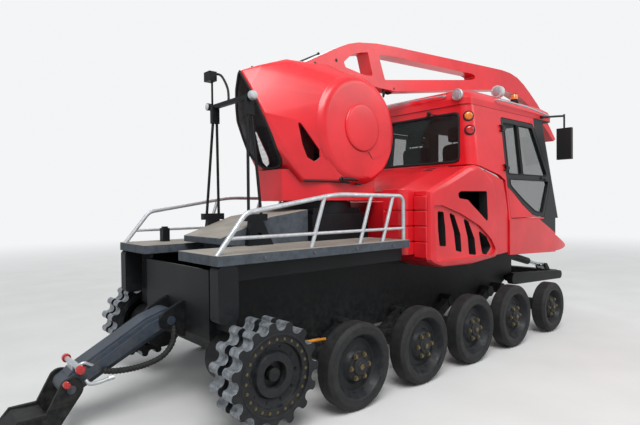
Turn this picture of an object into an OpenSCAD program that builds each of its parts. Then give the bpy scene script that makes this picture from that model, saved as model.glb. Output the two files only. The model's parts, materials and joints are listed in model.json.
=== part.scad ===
// Winch snow groomer carrier, parked with its tracks taken off
// Every length along the machine is measured forward from the rear sprocket axle

/* [Wheels] */
// Distance from the sprocket axle to the first road wheel
first_wheel = 815; // [760:5:860]
// Distance between road wheels
wheel_pitch = 833; // [800:1:860]
// Distance from the sprocket axle to the front idler
idler_place = 4265; // [4150:5:4350]
// Outer diameter of a road wheel
wheel_d = 686; // [640:2:720]
// Width of a road wheel tyre
tyre_w = 170; // [130:5:200]
// Outer diameter of the front idler
idler_d = 600; // [560:5:640]
// Clearance from the floor to the idler
idler_clear = 12; // [5:1:40]
// Width over the outer faces of the wheels
wheel_span = 2500; // [2440:10:2600]
// Height of the sprocket axle
sprocket_z = 466; // [450:2:520]
// Tip diameter of the sprocket
sprocket_d = 726; // [680:2:760]
// Width of the sprocket
sprocket_w = 300; // [240:5:320]
// Number of teeth round a sprocket
sprocket_teeth = 15; // [12:1:18]
// Diameter of a stub axle
axle_d = 90; // [60:5:110]
// Radial play of a wheel bore on its stub axle
axle_play = 0.3; // [0.2:0.1:1]

/* [Chassis] */
// Width of the steel tub
tub_w = 1180; // [1000:10:1240]
// Height of the tub floor over the ground
tub_z = 420; // [380:5:480]
// Height of the tub rim over the ground
tub_top = 1130; // [1080:5:1160]
// Wall thickness of the tub
tub_wall = 20; // [12:1:30]

/* [Load deck] */
// Height of the deck surface
deck_z = 1270; // [1220:5:1320]
// Width of the deck
deck_w = 1880; // [1700:10:1900]
// Rear edge of the deck
deck_rear = -270; // [-320:5:-220]
// Front edge of the deck
deck_front = 1800; // [1750:5:1860]
// Depth of the deck edge beam
deck_beam = 75; // [60:5:100]
// Width of the rear cut-out
cutout_w = 670; // [500:10:760]
// Length of the rear cut-out
cutout_l = 570; // [400:10:650]
// Diameter of the rail tube
rail_d = 38; // [30:1:48]
// Height of the level part of the rail over the deck
rail_h = 430; // [380:5:440]

/* [Winch] */
// Slewing axis behind the cab
slew_x = 1420; // [1400:5:1440]
// Height of the joint between pedestal and winch
slew_z = 1655; // [1645:5:1680]
// Width of the winch hood over its drum bulge
hood_w = 960; // [860:10:980]
// Radius of the drum bulge on the hood
bulge_r = 560; // [520:5:570]
// Wall of the winch hood
hood_wall = 12; // [8:1:20]
// Width of the boom box section
boom_w = 180; // [140:5:220]
// Diameter of the rope drum
drum_d = 620; // [500:10:680]

/* [Cab] */
// Rear face of the cab
cab_rear = 2960; // [2900:5:3020]
// Width of the cab at the door sill
cab_w = 2000; // [1900:10:2060]
// Height of the door sill
sill_z = 1400; // [1350:5:1450]
// Lean of the cab sides, in degrees
side_lean = 6; // [3:0.5:8]
// Thickness of a door
door_t = 45; // [35:1:60]
// Width of the side pods
pod_w = 2100; // [2040:10:2160]
// Thickness of glass
glass_t = 8; // [6:1:10]

/* [Hidden] */

$fn = 64;
small = 1;
red = "#d8262c";
dark = "#26282b";
steel_grey = "#8d9094";
arm_blue = "#4a5563";
silver = "#c2c4c6";
cast_grey = "#6f7072";
glass_tint = [0.45, 0.6, 0.6, 0.4];

// Extreme points that set the frame of the whole machine
hook_tip = -1400;
boom_tip = 7030;
axle_x = -(hook_tip + boom_tip) / 2;
right = -1;
left = 1;

wheel_r = wheel_d / 2;
idler_r = idler_d / 2;
sprocket_r = sprocket_d / 2;
wheel_out = wheel_span / 2;
tub_half = tub_w / 2;
deck_half = deck_w / 2;
cab_half = cab_w / 2;
pod_half = pod_w / 2;
hood_half = hood_w / 2;
rail_r = rail_d / 2;
boom_half = boom_w / 2;

// Places and turns used all over the machine
module car() { translate([axle_x, 0, 0]) children(); }
module across(y0, y1) { translate([0, y1, 0]) rotate([90, 0, 0]) linear_extrude(y1 - y0) children(); }
module both_sides() {
    children();
    mirror([0, 1, 0]) children();
}
module on_side(side) {
    if (side == left) children();
    else mirror([0, 1, 0]) children();
}
module bar(a, b, r) {
    d = b - a;
    len = norm(d);
    translate(a) rotate([0, acos(d[2] / len), atan2(d[1], d[0])]) cylinder(r = r, h = len, $fn = 24);
}
// Tube bent in one upright plane. Each point is [along, up, bend radius at that corner]
function spot(p) = [p[0], p[1]];
function heading(points, i) = atan2(points[i + 1][1] - points[i][1], points[i + 1][0] - points[i][0]);
function turn(points, i) = heading(points, i) - heading(points, i - 1);
// Centre line with each corner rounded, as [along, up, heading]
function rounded_line(points, steps) = let (last = len(points) - 1) [
    [points[0][0], points[0][1], heading(points, 0)],
    for (i = [1 : 1 : last - 1]) let (
        way = turn(points, i),
        bend = points[i][2],
        back = bend * tan(abs(way) / 2),
        start = heading(points, i - 1),
        first = spot(points[i]) - back * [cos(start), sin(start)],
        centre = first + sign(way) * bend * [-sin(start), cos(start)])
        for (k = [0 : steps]) let (a = start + way * k / steps)
            [centre[0] + sign(way) * bend * sin(a), centre[1] - sign(way) * bend * cos(a), a],
    [points[last][0], points[last][1], heading(points, last - 1)]];
module bent_tube(points, r, steps = 5, sides = 12) {
    line = rounded_line(points, steps);
    rings = len(line);
    skin = [for (p = line, j = [0 : sides - 1]) let (a = 360 * j / sides)
        [p[0] - r * cos(a) * sin(p[2]), r * sin(a), p[1] + r * cos(a) * cos(p[2])]];
    walls = [for (i = [0 : rings - 2], j = [0 : sides - 1]) let (k = (j + 1) % sides)
        [i * sides + j, i * sides + k, (i + 1) * sides + k, (i + 1) * sides + j]];
    caps = [[for (j = [0 : sides - 1]) sides - 1 - j], [for (j = [0 : sides - 1]) (rings - 1) * sides + j]];
    polyhedron(skin, concat(walls, caps));
}

// Wheel places: distance from the sprocket axle, outer radius, axle height, reach to its arm's pivot
arm_reach = 330;
wheel_rows = [
    for (i = [0 : 3]) [first_wheel + i * wheel_pitch, wheel_r, wheel_r, arm_reach],
    [idler_place, idler_r, idler_r + idler_clear, -arm_reach]];

// Chassis
tub_rear = -150;
tub_front = 4450;
lug_t = 25;
lift_y = 500;
lift_pin_r = 22;
barrel_pin = [4550, 880];
rod_eye = [5560, 650];
frame_pin = [4300, 600];
frame_pin_r = 40;
arm_pin = [-260, 700];
arm_pin_r = 35;
arm_half = 130;
// Inner faces of a pair of lugs that stand gap apart about the plane at y
function lug_rows(y, gap) = [y - gap - lug_t - 3, y + gap + 3];
module chassis_tub() {
    nose_rise = 260;
    color(dark) car() difference() {
        across(-tub_half, tub_half) polygon([[tub_rear, tub_z + 180], [tub_rear + 180, tub_z],
            [tub_front - 500, tub_z], [tub_front, tub_z + nose_rise], [tub_front, tub_top - 200],
            [tub_front - 400, tub_top], [tub_rear, tub_top]]);
        across(-tub_half + tub_wall, tub_half - tub_wall) polygon([
            [tub_rear + tub_wall, tub_z + 190], [tub_rear + 190, tub_z + tub_wall],
            [tub_front - 510, tub_z + tub_wall], [tub_front - tub_wall, tub_z + nose_rise + 10],
            [tub_front - tub_wall, tub_top + 10], [tub_rear + tub_wall, tub_top + 10]]);
    }
    // Pins and lugs for the blade frame, its cylinders and the rear arm
    color(dark) car() both_sides() {
        translate([frame_pin[0], tub_half, frame_pin[1]]) rotate([-90, 0, 0]) cylinder(r = frame_pin_r, h = 130);
        for (y = lug_rows(lift_y, 50)) difference() {
            across(y, y + lug_t) hull() {
                translate(barrel_pin) circle(45, $fn = 32);
                translate([tub_front - 10, barrel_pin[1] - 45]) square([10, 90]);
            }
            translate([barrel_pin[0], y - 1, barrel_pin[1]]) rotate([-90, 0, 0]) cylinder(r = lift_pin_r + 0.3, h = lug_t + 2);
        }
        difference() {
            across(arm_half + 5, arm_half + 5 + lug_t * 1.5) hull() {
                translate(arm_pin) circle(90, $fn = 32);
                translate([tub_rear, arm_pin[1] - 150]) square([10, 300]);
            }
            translate([arm_pin[0], arm_half, arm_pin[1]]) rotate([-90, 0, 0])
                cylinder(r = arm_pin_r + 0.3, h = lug_t * 3);
        }
    }
}

arm_pivot_z = 520;
module wheel_arm(x, z, reach) {
    arm_in = tub_half + 60;
    arm_t = 80;
    web_half = 48;
    translate([x + reach, tub_half, arm_pivot_z]) rotate([-90, 0, 0])
        cylinder(d = 130, h = arm_in + arm_t + 10 - tub_half);
    // Forged web from the pivot boss down to the axle boss
    across(arm_in, arm_in + arm_t) translate([x + reach, arm_pivot_z]) rotate(atan2(z - arm_pivot_z, -reach))
        translate([0, -web_half]) square([norm([reach, z - arm_pivot_z]), 2 * web_half]);
    translate([x, arm_in, z]) rotate([-90, 0, 0]) cylinder(d = 150, h = wheel_out - tyre_w + 15 - arm_in);
    translate([x, arm_in, z]) rotate([-90, 0, 0]) cylinder(d = axle_d, h = wheel_out - 35 - arm_in);
}
module wheel_arms() {
    color(dark) car() both_sides()
        for (w = wheel_rows) wheel_arm(w[0], w[2], w[3]);
}

module final_drives() {
    drive_in = tub_half;
    color(dark) car() both_sides() {
        translate([0, drive_in, sprocket_z]) rotate([-90, 0, 0])
            cylinder(r = 190, h = wheel_out - sprocket_w - drive_in - 10);
        translate([0, drive_in, sprocket_z]) rotate([-90, 0, 0])
            cylinder(d = axle_d, h = wheel_out - drive_in - 40);
    }
}

module engine_block() {
    color("#3d3f42") car() translate([2060, -380, tub_z + tub_wall]) cube([840, 760, 750]);
}

// Wheels, made on their own axle and then set in place
module wheel_at(x, z, side, w) {
    car() on_side(side) translate([x, wheel_out - w, z]) rotate([-90, 0, 0]) children();
}
module road_wheel(x, r, z, side) {
    rim = r - 75;
    bore = axle_d / 2 + axle_play;
    color(dark) wheel_at(x, z, side, tyre_w) rotate_extrude($fn = 96) polygon([
        [bore, 30], [120, 30], [150, 60], [rim - 60, 60], [rim - 20, 10], [rim, 4],
        [r - 30, 0], [r, 25], [r, tyre_w - 25], [r - 30, tyre_w], [rim, tyre_w - 4],
        [rim - 18, tyre_w - 12], [rim - 60, tyre_w - 85], [145, tyre_w - 75],
        [115, tyre_w - 40], [bore + 35, tyre_w - 28], [bore, tyre_w - 28]]);
}

// Cast teeth with round tips, and round hollows between them
module tooth_ring(inner) {
    tip_r = 38;
    hollow_r = 40;
    difference() {
        union() {
            circle(sprocket_r - tip_r + 5, $fn = 120);
            for (i = [0 : sprocket_teeth - 1]) rotate(360 / sprocket_teeth * i)
                translate([sprocket_r - tip_r, 0]) circle(tip_r, $fn = 48);
        }
        circle(inner, $fn = 96);
        for (i = [0 : sprocket_teeth - 1]) rotate(360 / sprocket_teeth * (i + 0.5))
            translate([sprocket_r - tip_r + 20, 0]) circle(hollow_r, $fn = 48);
    }
}
module sprocket(side) {
    body_r = sprocket_r - 78;
    bore = axle_d / 2 + axle_play;
    ring_w = 118;
    color(cast_grey) wheel_at(0, sprocket_z, side, sprocket_w) union() {
        rotate_extrude($fn = 96) polygon([
            [bore, 150], [150, 150], [190, 60], [body_r - 40, 40], [body_r - 40, 0], [body_r, 0],
            [body_r, sprocket_w], [body_r - 14, sprocket_w], [body_r - 14, sprocket_w - 12],
            [body_r - 62, sprocket_w - 12],
            [body_r - 70, sprocket_w - 40], [165, sprocket_w - 55], [150, sprocket_w - 30], [95, sprocket_w - 30],
            [85, sprocket_w - 90], [bore, sprocket_w - 90]]);
        for (z = [4, sprocket_w - 4 - ring_w]) translate([0, 0, z]) linear_extrude(ring_w) tooth_ring(body_r - 6);
    }
}

// Load deck
deck_under = deck_z - deck_beam;
cut_end = deck_rear + cutout_l;
module deck_outline() {
    difference() {
        translate([deck_rear, -deck_half]) square([deck_front - deck_rear, deck_w]);
        translate([deck_rear - small, -cutout_w / 2]) square([cutout_l + small, cutout_w]);
    }
}
module load_deck() {
    plate_t = 30;
    beam_t = 12;
    color(steel_grey) car() difference() {
        translate([0, 0, deck_under]) linear_extrude(deck_beam) deck_outline();
        for (y = [-deck_half + beam_t, cutout_w / 2 + beam_t])
            translate([deck_rear + beam_t, y, deck_under - small])
                cube([cutout_l - 2 * beam_t, deck_half - cutout_w / 2 - 2 * beam_t, deck_beam - plate_t]);
        translate([cut_end + beam_t, -deck_half + beam_t, deck_under - small])
            cube([deck_front - cut_end - 2 * beam_t, deck_w - 2 * beam_t, deck_beam - plate_t]);
    }
}
module rear_panels() {
    panel_t = 25;
    panel_x = -90;
    color(dark) car() both_sides()
        translate([panel_x, tub_half, 680]) cube([panel_t, deck_half - tub_half - 60, deck_under - 680]);
    color(dark) car() both_sides() translate([panel_x + panel_t, tub_half, deck_under - 130])
        cube([deck_front - panel_x - panel_t, 250, 130]);
}
module side_tanks() {
    // The flat top hangs under the outer and rear edge beams of the deck
    tank_r = 40;
    tank_h = 320;
    color(dark) car() both_sides() translate([deck_rear + 5 + tank_r, deck_half - 120, deck_under - 0.3 - tank_r])
        hull() for (x = [0, 80], z = [0, -tank_h]) translate([x, 0, z])
            rotate([-90, 0, 0]) cylinder(r = tank_r, h = 115, $fn = 32);
}
rail_y = deck_half - 60;
rail_top = deck_z + rail_h;
module guard_rail(side) {
    post_r = rail_r * 0.86;
    low_rail_r = rail_r * 0.72;
    rail_end = deck_front - 20;
    color(silver) car() translate([0, side * rail_y, 0]) difference() {
        union() {
        bent_tube([[deck_rear + 10, deck_z - 30], [0, deck_z + 290, 120], [900, rail_top, 1500],
            [rail_end, rail_top - 10, 70], [rail_end, deck_z - 20]], rail_r);
        bar([deck_rear + 130, 0, deck_z + 110], [rail_end, 0, deck_z + 110], low_rail_r);
        for (x = [620, 1180, 1480]) bar([x - 10, 0, deck_z - 25], [x + 150, 0, rail_top - 10], post_r);
        }
        translate([deck_rear - 100, -50, deck_z - 100]) cube([deck_w * 1.2, 100, 100]);
    }
}
module rail_right() { guard_rail(right); }
module rail_left() { guard_rail(left); }
pedestal_rear = 1040;
// Sloping cover over the drives, from the deck cut-out to the winch pedestal
wedge_half = cutout_w / 2 - 0.3;
wedge_rear = 100;
wedge_end = pedestal_rear - 0.3;
wedge_wall = 8;
module wedge_side(inset) {
    offset(delta = -inset) polygon([[wedge_rear, deck_z + 20], [wedge_rear, deck_z + 75], [600, deck_z + 240],
        [wedge_end, deck_z + 300], [wedge_end, deck_z + 0.3], [cut_end - 40, deck_z + 0.3]]);
}
module cutout_cover() {
    color(steel_grey) car() difference() {
        across(-wedge_half, wedge_half) wedge_side(0);
        across(-wedge_half + wedge_wall, wedge_half - wedge_wall) wedge_side(wedge_wall);
        translate([cut_end - 30, -wedge_half + wedge_wall, deck_z - 10])
            cube([wedge_end - cut_end, 2 * (wedge_half - wedge_wall), 40]);
    }
}

// Winch pedestal, and the brackets of the lamp portal beside the cover
pedestal_half = 400;
ring_r = 370;
portal_x = 420;
portal_foot = 1480;
portal_half = 300;
portal_top = 2580;
module winch_pedestal() {
    gap = 10;
    block_h = 250;
    step = 60;
    color(dark) car() union() {
        translate([pedestal_rear, -pedestal_half, deck_z]) cube([box_rear - pedestal_rear - 15, 2 * pedestal_half, block_h]);
        translate([pedestal_rear + step, -pedestal_half + step, deck_z + block_h - step])
            cube([box_rear - pedestal_rear - 15 - 2 * step, 2 * (pedestal_half - step), 2 * step]);
        translate([slew_x, 0, deck_z + block_h]) cylinder(r = ring_r, h = slew_z - gap - deck_z - block_h);
        translate([slew_x, 0, deck_z + block_h]) cylinder(r = ring_r - 30, h = slew_z - 0.3 - deck_z - block_h);
    }
    color(dark) car() both_sides() difference() {
        across(wedge_half + 6, wedge_half + 66) polygon([[portal_x - 90, deck_z], [portal_x + 170, deck_z],
            [portal_x + 60, portal_foot], [portal_x - 60, portal_foot]]);
        across(wedge_half, wedge_half + 80) translate([portal_x + 20, deck_z + 80]) circle(30, $fn = 32);
    }
}
module lamp_portal() {
    leg_r = 13;
    neck_l = 180;
    neck_w = 76;
    post = 40;
    knob_r = 42;
    foot_y = portal_half + 68;
    foot_w = 60;
    lamp_y = portal_half + 50;
    lamp_z = portal_top + 230;
    color(dark) car() union() {
        translate([portal_x - post / 2, -portal_half - post, portal_top - post])
            cube([post, 2 * portal_half + 2 * post, post]);
        for (s = [right, left]) {
            translate([portal_x - neck_w / 2, s * portal_half - post / 2 - 3, portal_top - neck_l])
                cube([neck_w, post + 6, neck_l - post / 2]);
            for (d = [-55, 55])
                bar([portal_x + d * 1.2, s * foot_y, portal_foot + 20],
                    [portal_x + d * 0.36, s * portal_half, portal_top - neck_l + 30], leg_r);
            translate([portal_x - 110, s * foot_y - foot_w / 2, portal_foot + 0.3]) cube([220, foot_w, 60]);
        }
        across(lamp_y - 10, lamp_y + 2) translate([portal_x - 8, portal_top - 10]) square([16, lamp_z - portal_top + 20]);
        translate([portal_x - 55, lamp_y - 55, lamp_z]) cube([80, 110, 90]);
        translate([portal_x, -portal_half - post, portal_top - post / 2]) rotate([90, 0, 0])
            rotate_extrude($fn = 48) polygon([[0, -20], [28, -20], [knob_r, 0], [knob_r, 26], [32, 42], [16, 48], [0, 48]]);
    }
}

// Bodywork behind and beside the cab
box_gap = 12;
box_rear = deck_front + box_gap;
box_front = 1985;
box_top = 1760;
box_low = 1110;
box_out = 860;
box_round = 80;
module box_plan(grow) {
    offset(delta = grow) hull() {
        translate([box_rear, tub_half]) square([box_front - box_rear, 60]);
        translate([box_rear + box_round, box_out - box_round]) circle(box_round, $fn = 48);
        translate([box_front - 60, box_out - 60]) square([60, 60]);
    }
}
module side_box(side) {
    groove_h = 14;
    groove_deep = 12;
    color(red) car() on_side(side) difference() {
        translate([0, 0, box_low]) linear_extrude(box_top - box_low) box_plan(0);
        for (z = [1230, 1385, 1540]) translate([0, 0, z]) linear_extrude(groove_h) difference() {
            translate([box_rear - 10, box_out - 250]) square([400, 300]);
            box_plan(-groove_deep);
        }
    }
}
module side_box_right() { side_box(right); }
module side_box_left() { side_box(left); }

cover_half = 610;
pod_front = 3620;
pod_low = 990;
pod_wall = 30;
// Edge of a pod's side: depth from the outer face and draw-in of the outline there
pod_edge = [[0, 55], [16, 16], [55, 0]];
module pod_outline() {
    polygon([[box_front + 5, pod_low + 70], [2050, pod_low + 30], [2210, pod_low - 20], [2750, pod_low - 35],
        [3230, pod_low], [3290, pod_low + 60], [3260, 1700], [3170, 1880], [3000, 1985], [2860, 2030], [2690, 2010],
        [box_front + 5, 1735]]);
}
module rounded(r) { offset(r = r, $fn = 24) offset(delta = -r) children(); }
// Upright slots of a pod, as outlines seen from its side
pod_slots = [
    [[2130, 1540], [2230, 1530], [2260, 1360], [2270, 1180], [2160, 1190], [2135, 1360]],
    [[2320, 1530], [2420, 1490], [2530, 1290], [2550, 1100], [2445, 1125], [2410, 1320]],
    [[2580, 1465], [2680, 1420], [2800, 1230], [2830, 1050], [2690, 1070], [2665, 1250]],
    [[2880, 1320], [3040, 1240], [3140, 1120], [3040, 1040], [2955, 1055], [2915, 1180]]];
module pod(side) {
    out = pod_half;
    color(red) car() on_side(side) difference() {
        union() {
            hull() for (e = pod_edge) across(cover_half, out - e[0]) offset(delta = -e[1]) pod_outline();
            across(cover_half, out - 70) polygon([[3150, pod_low + 10], [pod_front, pod_low + 35], [pod_front, 1480],
                [3560, 1700], [3500, 1880], [3100, 1985]]);
        }
        across(cover_half + pod_wall, out - 70 - pod_wall) polygon([[box_front - 5, pod_low + 110],
            [2210, pod_low + pod_wall], [pod_front - 300, pod_low + pod_wall + 20], [pod_front - pod_wall, pod_low + 80],
            [pod_front - pod_wall, 1470], [3480, 1840], [3000, 1945], [2700, 1965], [box_front - 5, 1690]]);
        // Shallow panel that the slots stand in, below a ridge that falls forward
        across(out - 22, out + 10) rounded(30) polygon([[2040, 1600], [2190, 1595], [2520, 1505], [2880, 1365],
            [3110, 1215], [3215, 1085], [3150, 1035], [2080, 1040]]);
        for (outline = pod_slots) across(out - 70 - 2 * pod_wall, out + 10) rounded(18) polygon(outline);
        across(out - 70 - 2 * pod_wall, out + 10) rounded(22) polygon([[2455, 1715], [2510, 1740], [3020, 1745],
            [3040, 1400], [2900, 1490], [2740, 1585], [2640, 1650], [2480, 1665]]);
    }
}
module pod_right() { pod(right); }
module pod_left() { pod(left); }

module engine_cover() {
    cover_t = 30;
    notch = 2110;
    rear = 2010;
    color(red) car() difference() {
        across(-cover_half, cover_half) polygon([[rear, 1130], [rear, slew_z - 15], [notch, slew_z - 15],
            [notch + 40, box_top], [2260, box_top], [2500, 1850], [2740, 1980], [cab_rear - 10, 2050],
            [cab_rear - 10, 1130]]);
        across(-cover_half + cover_t, cover_half - cover_t) polygon([[rear + cover_t, 1100],
            [rear + cover_t, slew_z - 15 - cover_t], [notch + 20, slew_z - 15 - cover_t], [notch + 60, box_top - cover_t],
            [2270, box_top - cover_t], [2500, 1815], [2740, 1945], [cab_rear - 40, 2015], [cab_rear - 40, 1100]]);
        // Two air slits in the top
        for (k = [0, 1]) translate([2790 + 70 * k, -520, 1900]) cube([35, 190, 200]);
    }
}

// Nose body below and ahead of the doors
nose_rear = pod_front + 10;
nose_tip = 5120;
nose_wall = 30;
nose_top = sill_z - 0.3;
module nose_body() {
    color(red) car() difference() {
        hull() {
            across(-cab_half, cab_half) polygon([[nose_rear, 990], [nose_rear, nose_top], [4880, nose_top], [4880, 940]]);
            across(-780, 780) polygon([[4950, 930], [4950, nose_top], [nose_tip, 1080], [nose_tip - 30, 960]]);
        }
        hull() {
            across(-cab_half + nose_wall, cab_half - nose_wall)
                polygon([[nose_rear - 10, 900], [nose_rear - 10, nose_top - 40], [4850, nose_top - 40], [4850, 900]]);
            across(-750, 750) polygon([[4920, 880], [4920, nose_top - 40], [nose_tip - 45, 1050], [nose_tip - 60, 880]]);
        }
        translate([nose_rear - 10, -cab_half + nose_wall, 1300])
            cube([4860 - nose_rear, cab_w - 2 * nose_wall, 200]);
        both_sides() translate([tub_front + 30, lift_y - 65, 870]) cube([700, 130, 100]);
    }
}

// Cab, whose sides lean inward from the sill
floor_z = 1150;
floor_t = 30;
module cab_floor() {
    color(dark) car() union() {
        translate([cab_rear + 60, -tub_half, floor_z]) cube([pod_front - cab_rear, 2 * tub_half, floor_t]);
        translate([nose_rear + 5, -cab_half + nose_wall, floor_z])
            cube([4840 - nose_rear, cab_w - 2 * nose_wall, floor_t]);
        for (y = [-tub_half, tub_half - 60]) translate([cab_rear + 200, y, tub_top])
            cube([800, 60, floor_z - tub_top]);
    }
}
cab_top = 2740;
side_h = (cab_top - sill_z) / cos(side_lean);
roof_half = cab_half - (cab_top - sill_z) * tan(side_lean);
glass_rear = 4960;
glass_top = 4780;
shell_t = 45;
corner_r = 110;
// Frame of the leaning side: forward, up the side, and inward from its outer face
module lean_frame(side) {
    on_side(side) translate([0, cab_half, sill_z]) rotate([90 + side_lean, 0, 0]) children();
}
module lean(side, inset, t) { lean_frame(side) translate([0, 0, inset]) linear_extrude(t) children(); }
door_rear = 3660;
door_front = 4820;
module door_outline(grow) {
    offset(delta = grow) rounded(25) polygon([[door_rear, 30], [door_rear, side_h - 90], [4490, side_h - 90],
        [door_front, 590], [door_front + 5, 470], [4540, 30]]);
}
// Black frame of the door, which ends in a point low at the front
module frame_outline(grow) {
    offset(delta = grow) intersection() {
        door_outline(0);
        polygon([[3600, 440], [3600, 1400], [4500, 1400], [4900, 600], [4900, 400], [4600, 0], [4400, 20],
            [4220, 60], [3980, 190], [3760, 350]]);
    }
}
module window_outline() {
    rounded(20) polygon([[door_rear + 55, 570], [door_rear + 55, side_h - 145], [4040, side_h - 145], [4040, 570]]);
    rounded(20) polygon([[4075, 570], [4075, side_h - 145], [4450, side_h - 145], [4735, 610], [4735, 570]]);
    rounded(20) polygon([[door_rear + 70, 505], [4755, 505], [4765, 470], [4500, 75], [4300, 105], [4010, 255],
        [door_rear + 70, 430]]);
}
// Door hinges: the pin stands off the cab side, and each hinge sits at a height up the side
hinge_x = door_rear - 12;
hinge_out = 20;
hinge_rows = [640, 1120];
hinge_pin_r = 8;
knuckle_r = 14;
knuckle_h = 40;
lug_h = 14;
lug_gap = 6;
module hinge_rod(side, from, to, r) {
    lean_frame(side) translate([hinge_x, from, -hinge_out]) rotate([-90, 0, 0]) cylinder(r = r, h = to - from);
}
// Body of the cab between sill and roof, with rounded rear corners
module cab_block(inset) {
    r = corner_r - inset;
    hull() for (e = [[sill_z - 0.2, cab_half], [cab_top, roof_half]]) translate([0, 0, e[0]]) linear_extrude(0.2)
        for (y = [-e[1] + corner_r, e[1] - corner_r]) {
            translate([cab_rear + corner_r, y]) circle(r, $fn = 48);
            translate([5200, y]) circle(r, $fn = 48);
        }
}
module cab_shell() {
    color(red) car() union() {
        difference() {
            cab_block(0);
            cab_block(shell_t);
            // Ahead of the windscreen, and behind the pods
            across(-cab_half - 10, cab_half + 10) polygon([[glass_rear, sill_z - 10], [glass_top, cab_top + 10], [5400, cab_top + 10],
                [5400, sill_z - 10]]);
            across(-cab_half - 10, cab_half + 10) polygon([[cab_rear - 60, sill_z - 20], [pod_front + 0.3, sill_z - 20],
                [pod_front + 0.3, 1880.3], [3500, 1945.3], [3120, 2030.3], [cab_rear - 60, 2062]]);
            for (s = [right, left]) lean(s, -40, 120) door_outline(8);
            translate([cab_rear - 5, -roof_half + 120, 2090]) cube([shell_t + 10, 2 * roof_half - 240, 560]);
        }
        for (s = [right, left], up = hinge_rows) {
            hinge_rod(s, up - knuckle_h / 2 - lug_gap - lug_h, up + knuckle_h / 2 + lug_gap + lug_h, hinge_pin_r);
            for (v = [up - knuckle_h / 2 - lug_gap - lug_h, up + knuckle_h / 2 + lug_gap])
                lean_frame(s) translate([hinge_x - 45, v, -hinge_out - 12]) cube([53, lug_h, hinge_out + 16]);
        }
    }
}
roof_h = 185;
module roof_plan(inset) {
    rounded(110) translate([cab_rear - 15 + inset, -roof_half - 4 + inset])
        square([2180 - 2 * inset, 2 * roof_half + 8 - 2 * inset]);
}
module cab_roof() {
    color(red) car() translate([0, 0, cab_top + 0.3]) hull() {
        linear_extrude(70) roof_plan(0);
        linear_extrude(roof_h - 55) roof_plan(22);
        linear_extrude(roof_h) roof_plan(95);
    }
}
rake = atan((glass_rear - glass_top) / (cab_top - sill_z));
module windscreen() {
    low_half = cab_half - shell_t / cos(side_lean) - 0.5;
    high_half = roof_half - shell_t / cos(side_lean) - 0.5;
    rise = (cab_top - sill_z) / cos(rake);
    color(glass_tint) car() translate([glass_rear - glass_t - 2, 0, sill_z]) rotate([0, -rake, 0]) rotate([90, 0, 90])
        linear_extrude(glass_t) polygon([[-low_half, 1], [low_half, 1], [high_half, rise - 1], [-high_half, rise - 1]]);
}
module rear_window() {
    color(glass_tint) car() translate([cab_rear + 15, -roof_half + 120.3, 2090.3])
        cube([glass_t, 2 * roof_half - 240.6, 559.4]);
}
module door(side) {
    color(dark) car() {
        lean(side, 0, door_t) difference() {
            frame_outline(0);
            window_outline();
        }
        for (up = hinge_rows) difference() {
            union() {
                hinge_rod(side, up - knuckle_h / 2, up + knuckle_h / 2, knuckle_r);
                lean_frame(side) translate([hinge_x + 10, up - knuckle_h / 2, -hinge_out]) cube([60, knuckle_h, hinge_out + 2]);
            }
            hinge_rod(side, up - knuckle_h, up + knuckle_h, hinge_pin_r + axle_play);
        }
    }
}
module door_right() { door(right); }
module door_left() { door(left); }
module door_panel(side) {
    color(red) car() lean(side, 0, door_t) difference() {
        door_outline(0);
        frame_outline(0.3);
    }
}
module door_panel_right() { door_panel(right); }
module door_panel_left() { door_panel(left); }
module door_glass(side) {
    color(glass_tint) car() lean(side, 15, glass_t) offset(delta = -0.3) window_outline();
}
module door_glass_right() { door_glass(right); }
module door_glass_left() { door_glass(left); }
module seats() {
    color("#303236") car() for (y = [-330, 330]) translate([0, y, floor_z + floor_t + 0.3]) {
        translate([3760, -60, 0]) cube([260, 120, 200]);
        across(-240, 240) rounded(40) polygon([[3650, 180], [4140, 180], [4150, 330], [3720, 320], [3690, 420],
            [3600, 1010], [3500, 1000], [3560, 300]]);
        across(-120, 120) rounded(35) polygon([[3590, 960], [3580, 1180], [3500, 1180], [3490, 960]]);
    }
}
module console() {
    base = floor_z + floor_t + 0.3;
    color(dark) car() across(-420, 420) rounded(25)
        polygon([[4420, base], [4850, base], [4850, 1500], [4620, 1700], [4480, 1660], [4560, 1480], [4420, 1400]]);
}
lamp_r = 75;
lamp_foot = 10;
roof_top = cab_top + roof_h + 0.6;
module roof_lamps() {
    color(silver) car() both_sides() {
        translate([3800, 740, roof_top + lamp_foot + lamp_r]) rotate([0, 90, 0]) cylinder(r = lamp_r, h = 70);
        translate([3815, 710, roof_top]) cube([40, 60, lamp_foot + 12]);
    }
}
module beacon() {
    color(dark) car() translate([4250, -740, roof_top]) union() {
        cylinder(r = 55, h = 30);
        cylinder(r = 45, h = 110);
    }
}
module mirrors() {
    stalk_z = cab_top + 35;
    mirror_x = 4900;
    mirror_y = 1110;
    color(dark) car() both_sides() union() {
        translate([4730, roof_half + 4.3, stalk_z - 20]) cube([70, 12, 40]);
        bar([4765, roof_half + 13, stalk_z], [mirror_x, mirror_y, stalk_z], 14);
        bar([mirror_x, mirror_y, stalk_z + 22], [mirror_x, mirror_y, 2590], 12);
        translate([mirror_x - 30, mirror_y - 90, 2190]) cube([60, 190, 420]);
    }
}

// Winch, which slews on the pedestal
bulge_x = 1620;
bulge_z = 2360;
// Rounding of the drum bulge, and how far it stands out of the hood
bulge_round = 110;
bulge_step = 22;
disc_r = 225;
disc_t = 6;
module along_y() { rotate([90, 0, 0]) children(); }
module drum_bulge(grow) {
    r = bulge_r + grow;
    half = hood_half + grow;
    e = bulge_round + grow;
    translate([bulge_x, 0, bulge_z]) along_y() rotate_extrude($fn = 72) polygon(concat([[0, -half]],
        [for (a = [-90 : 18 : 0]) [r - e + e * cos(a), -half + e + e * sin(a)]],
        [for (a = [0 : 18 : 90]) [r - e + e * cos(a), half - e + e * sin(a)]], [[0, half]]));
}
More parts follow.
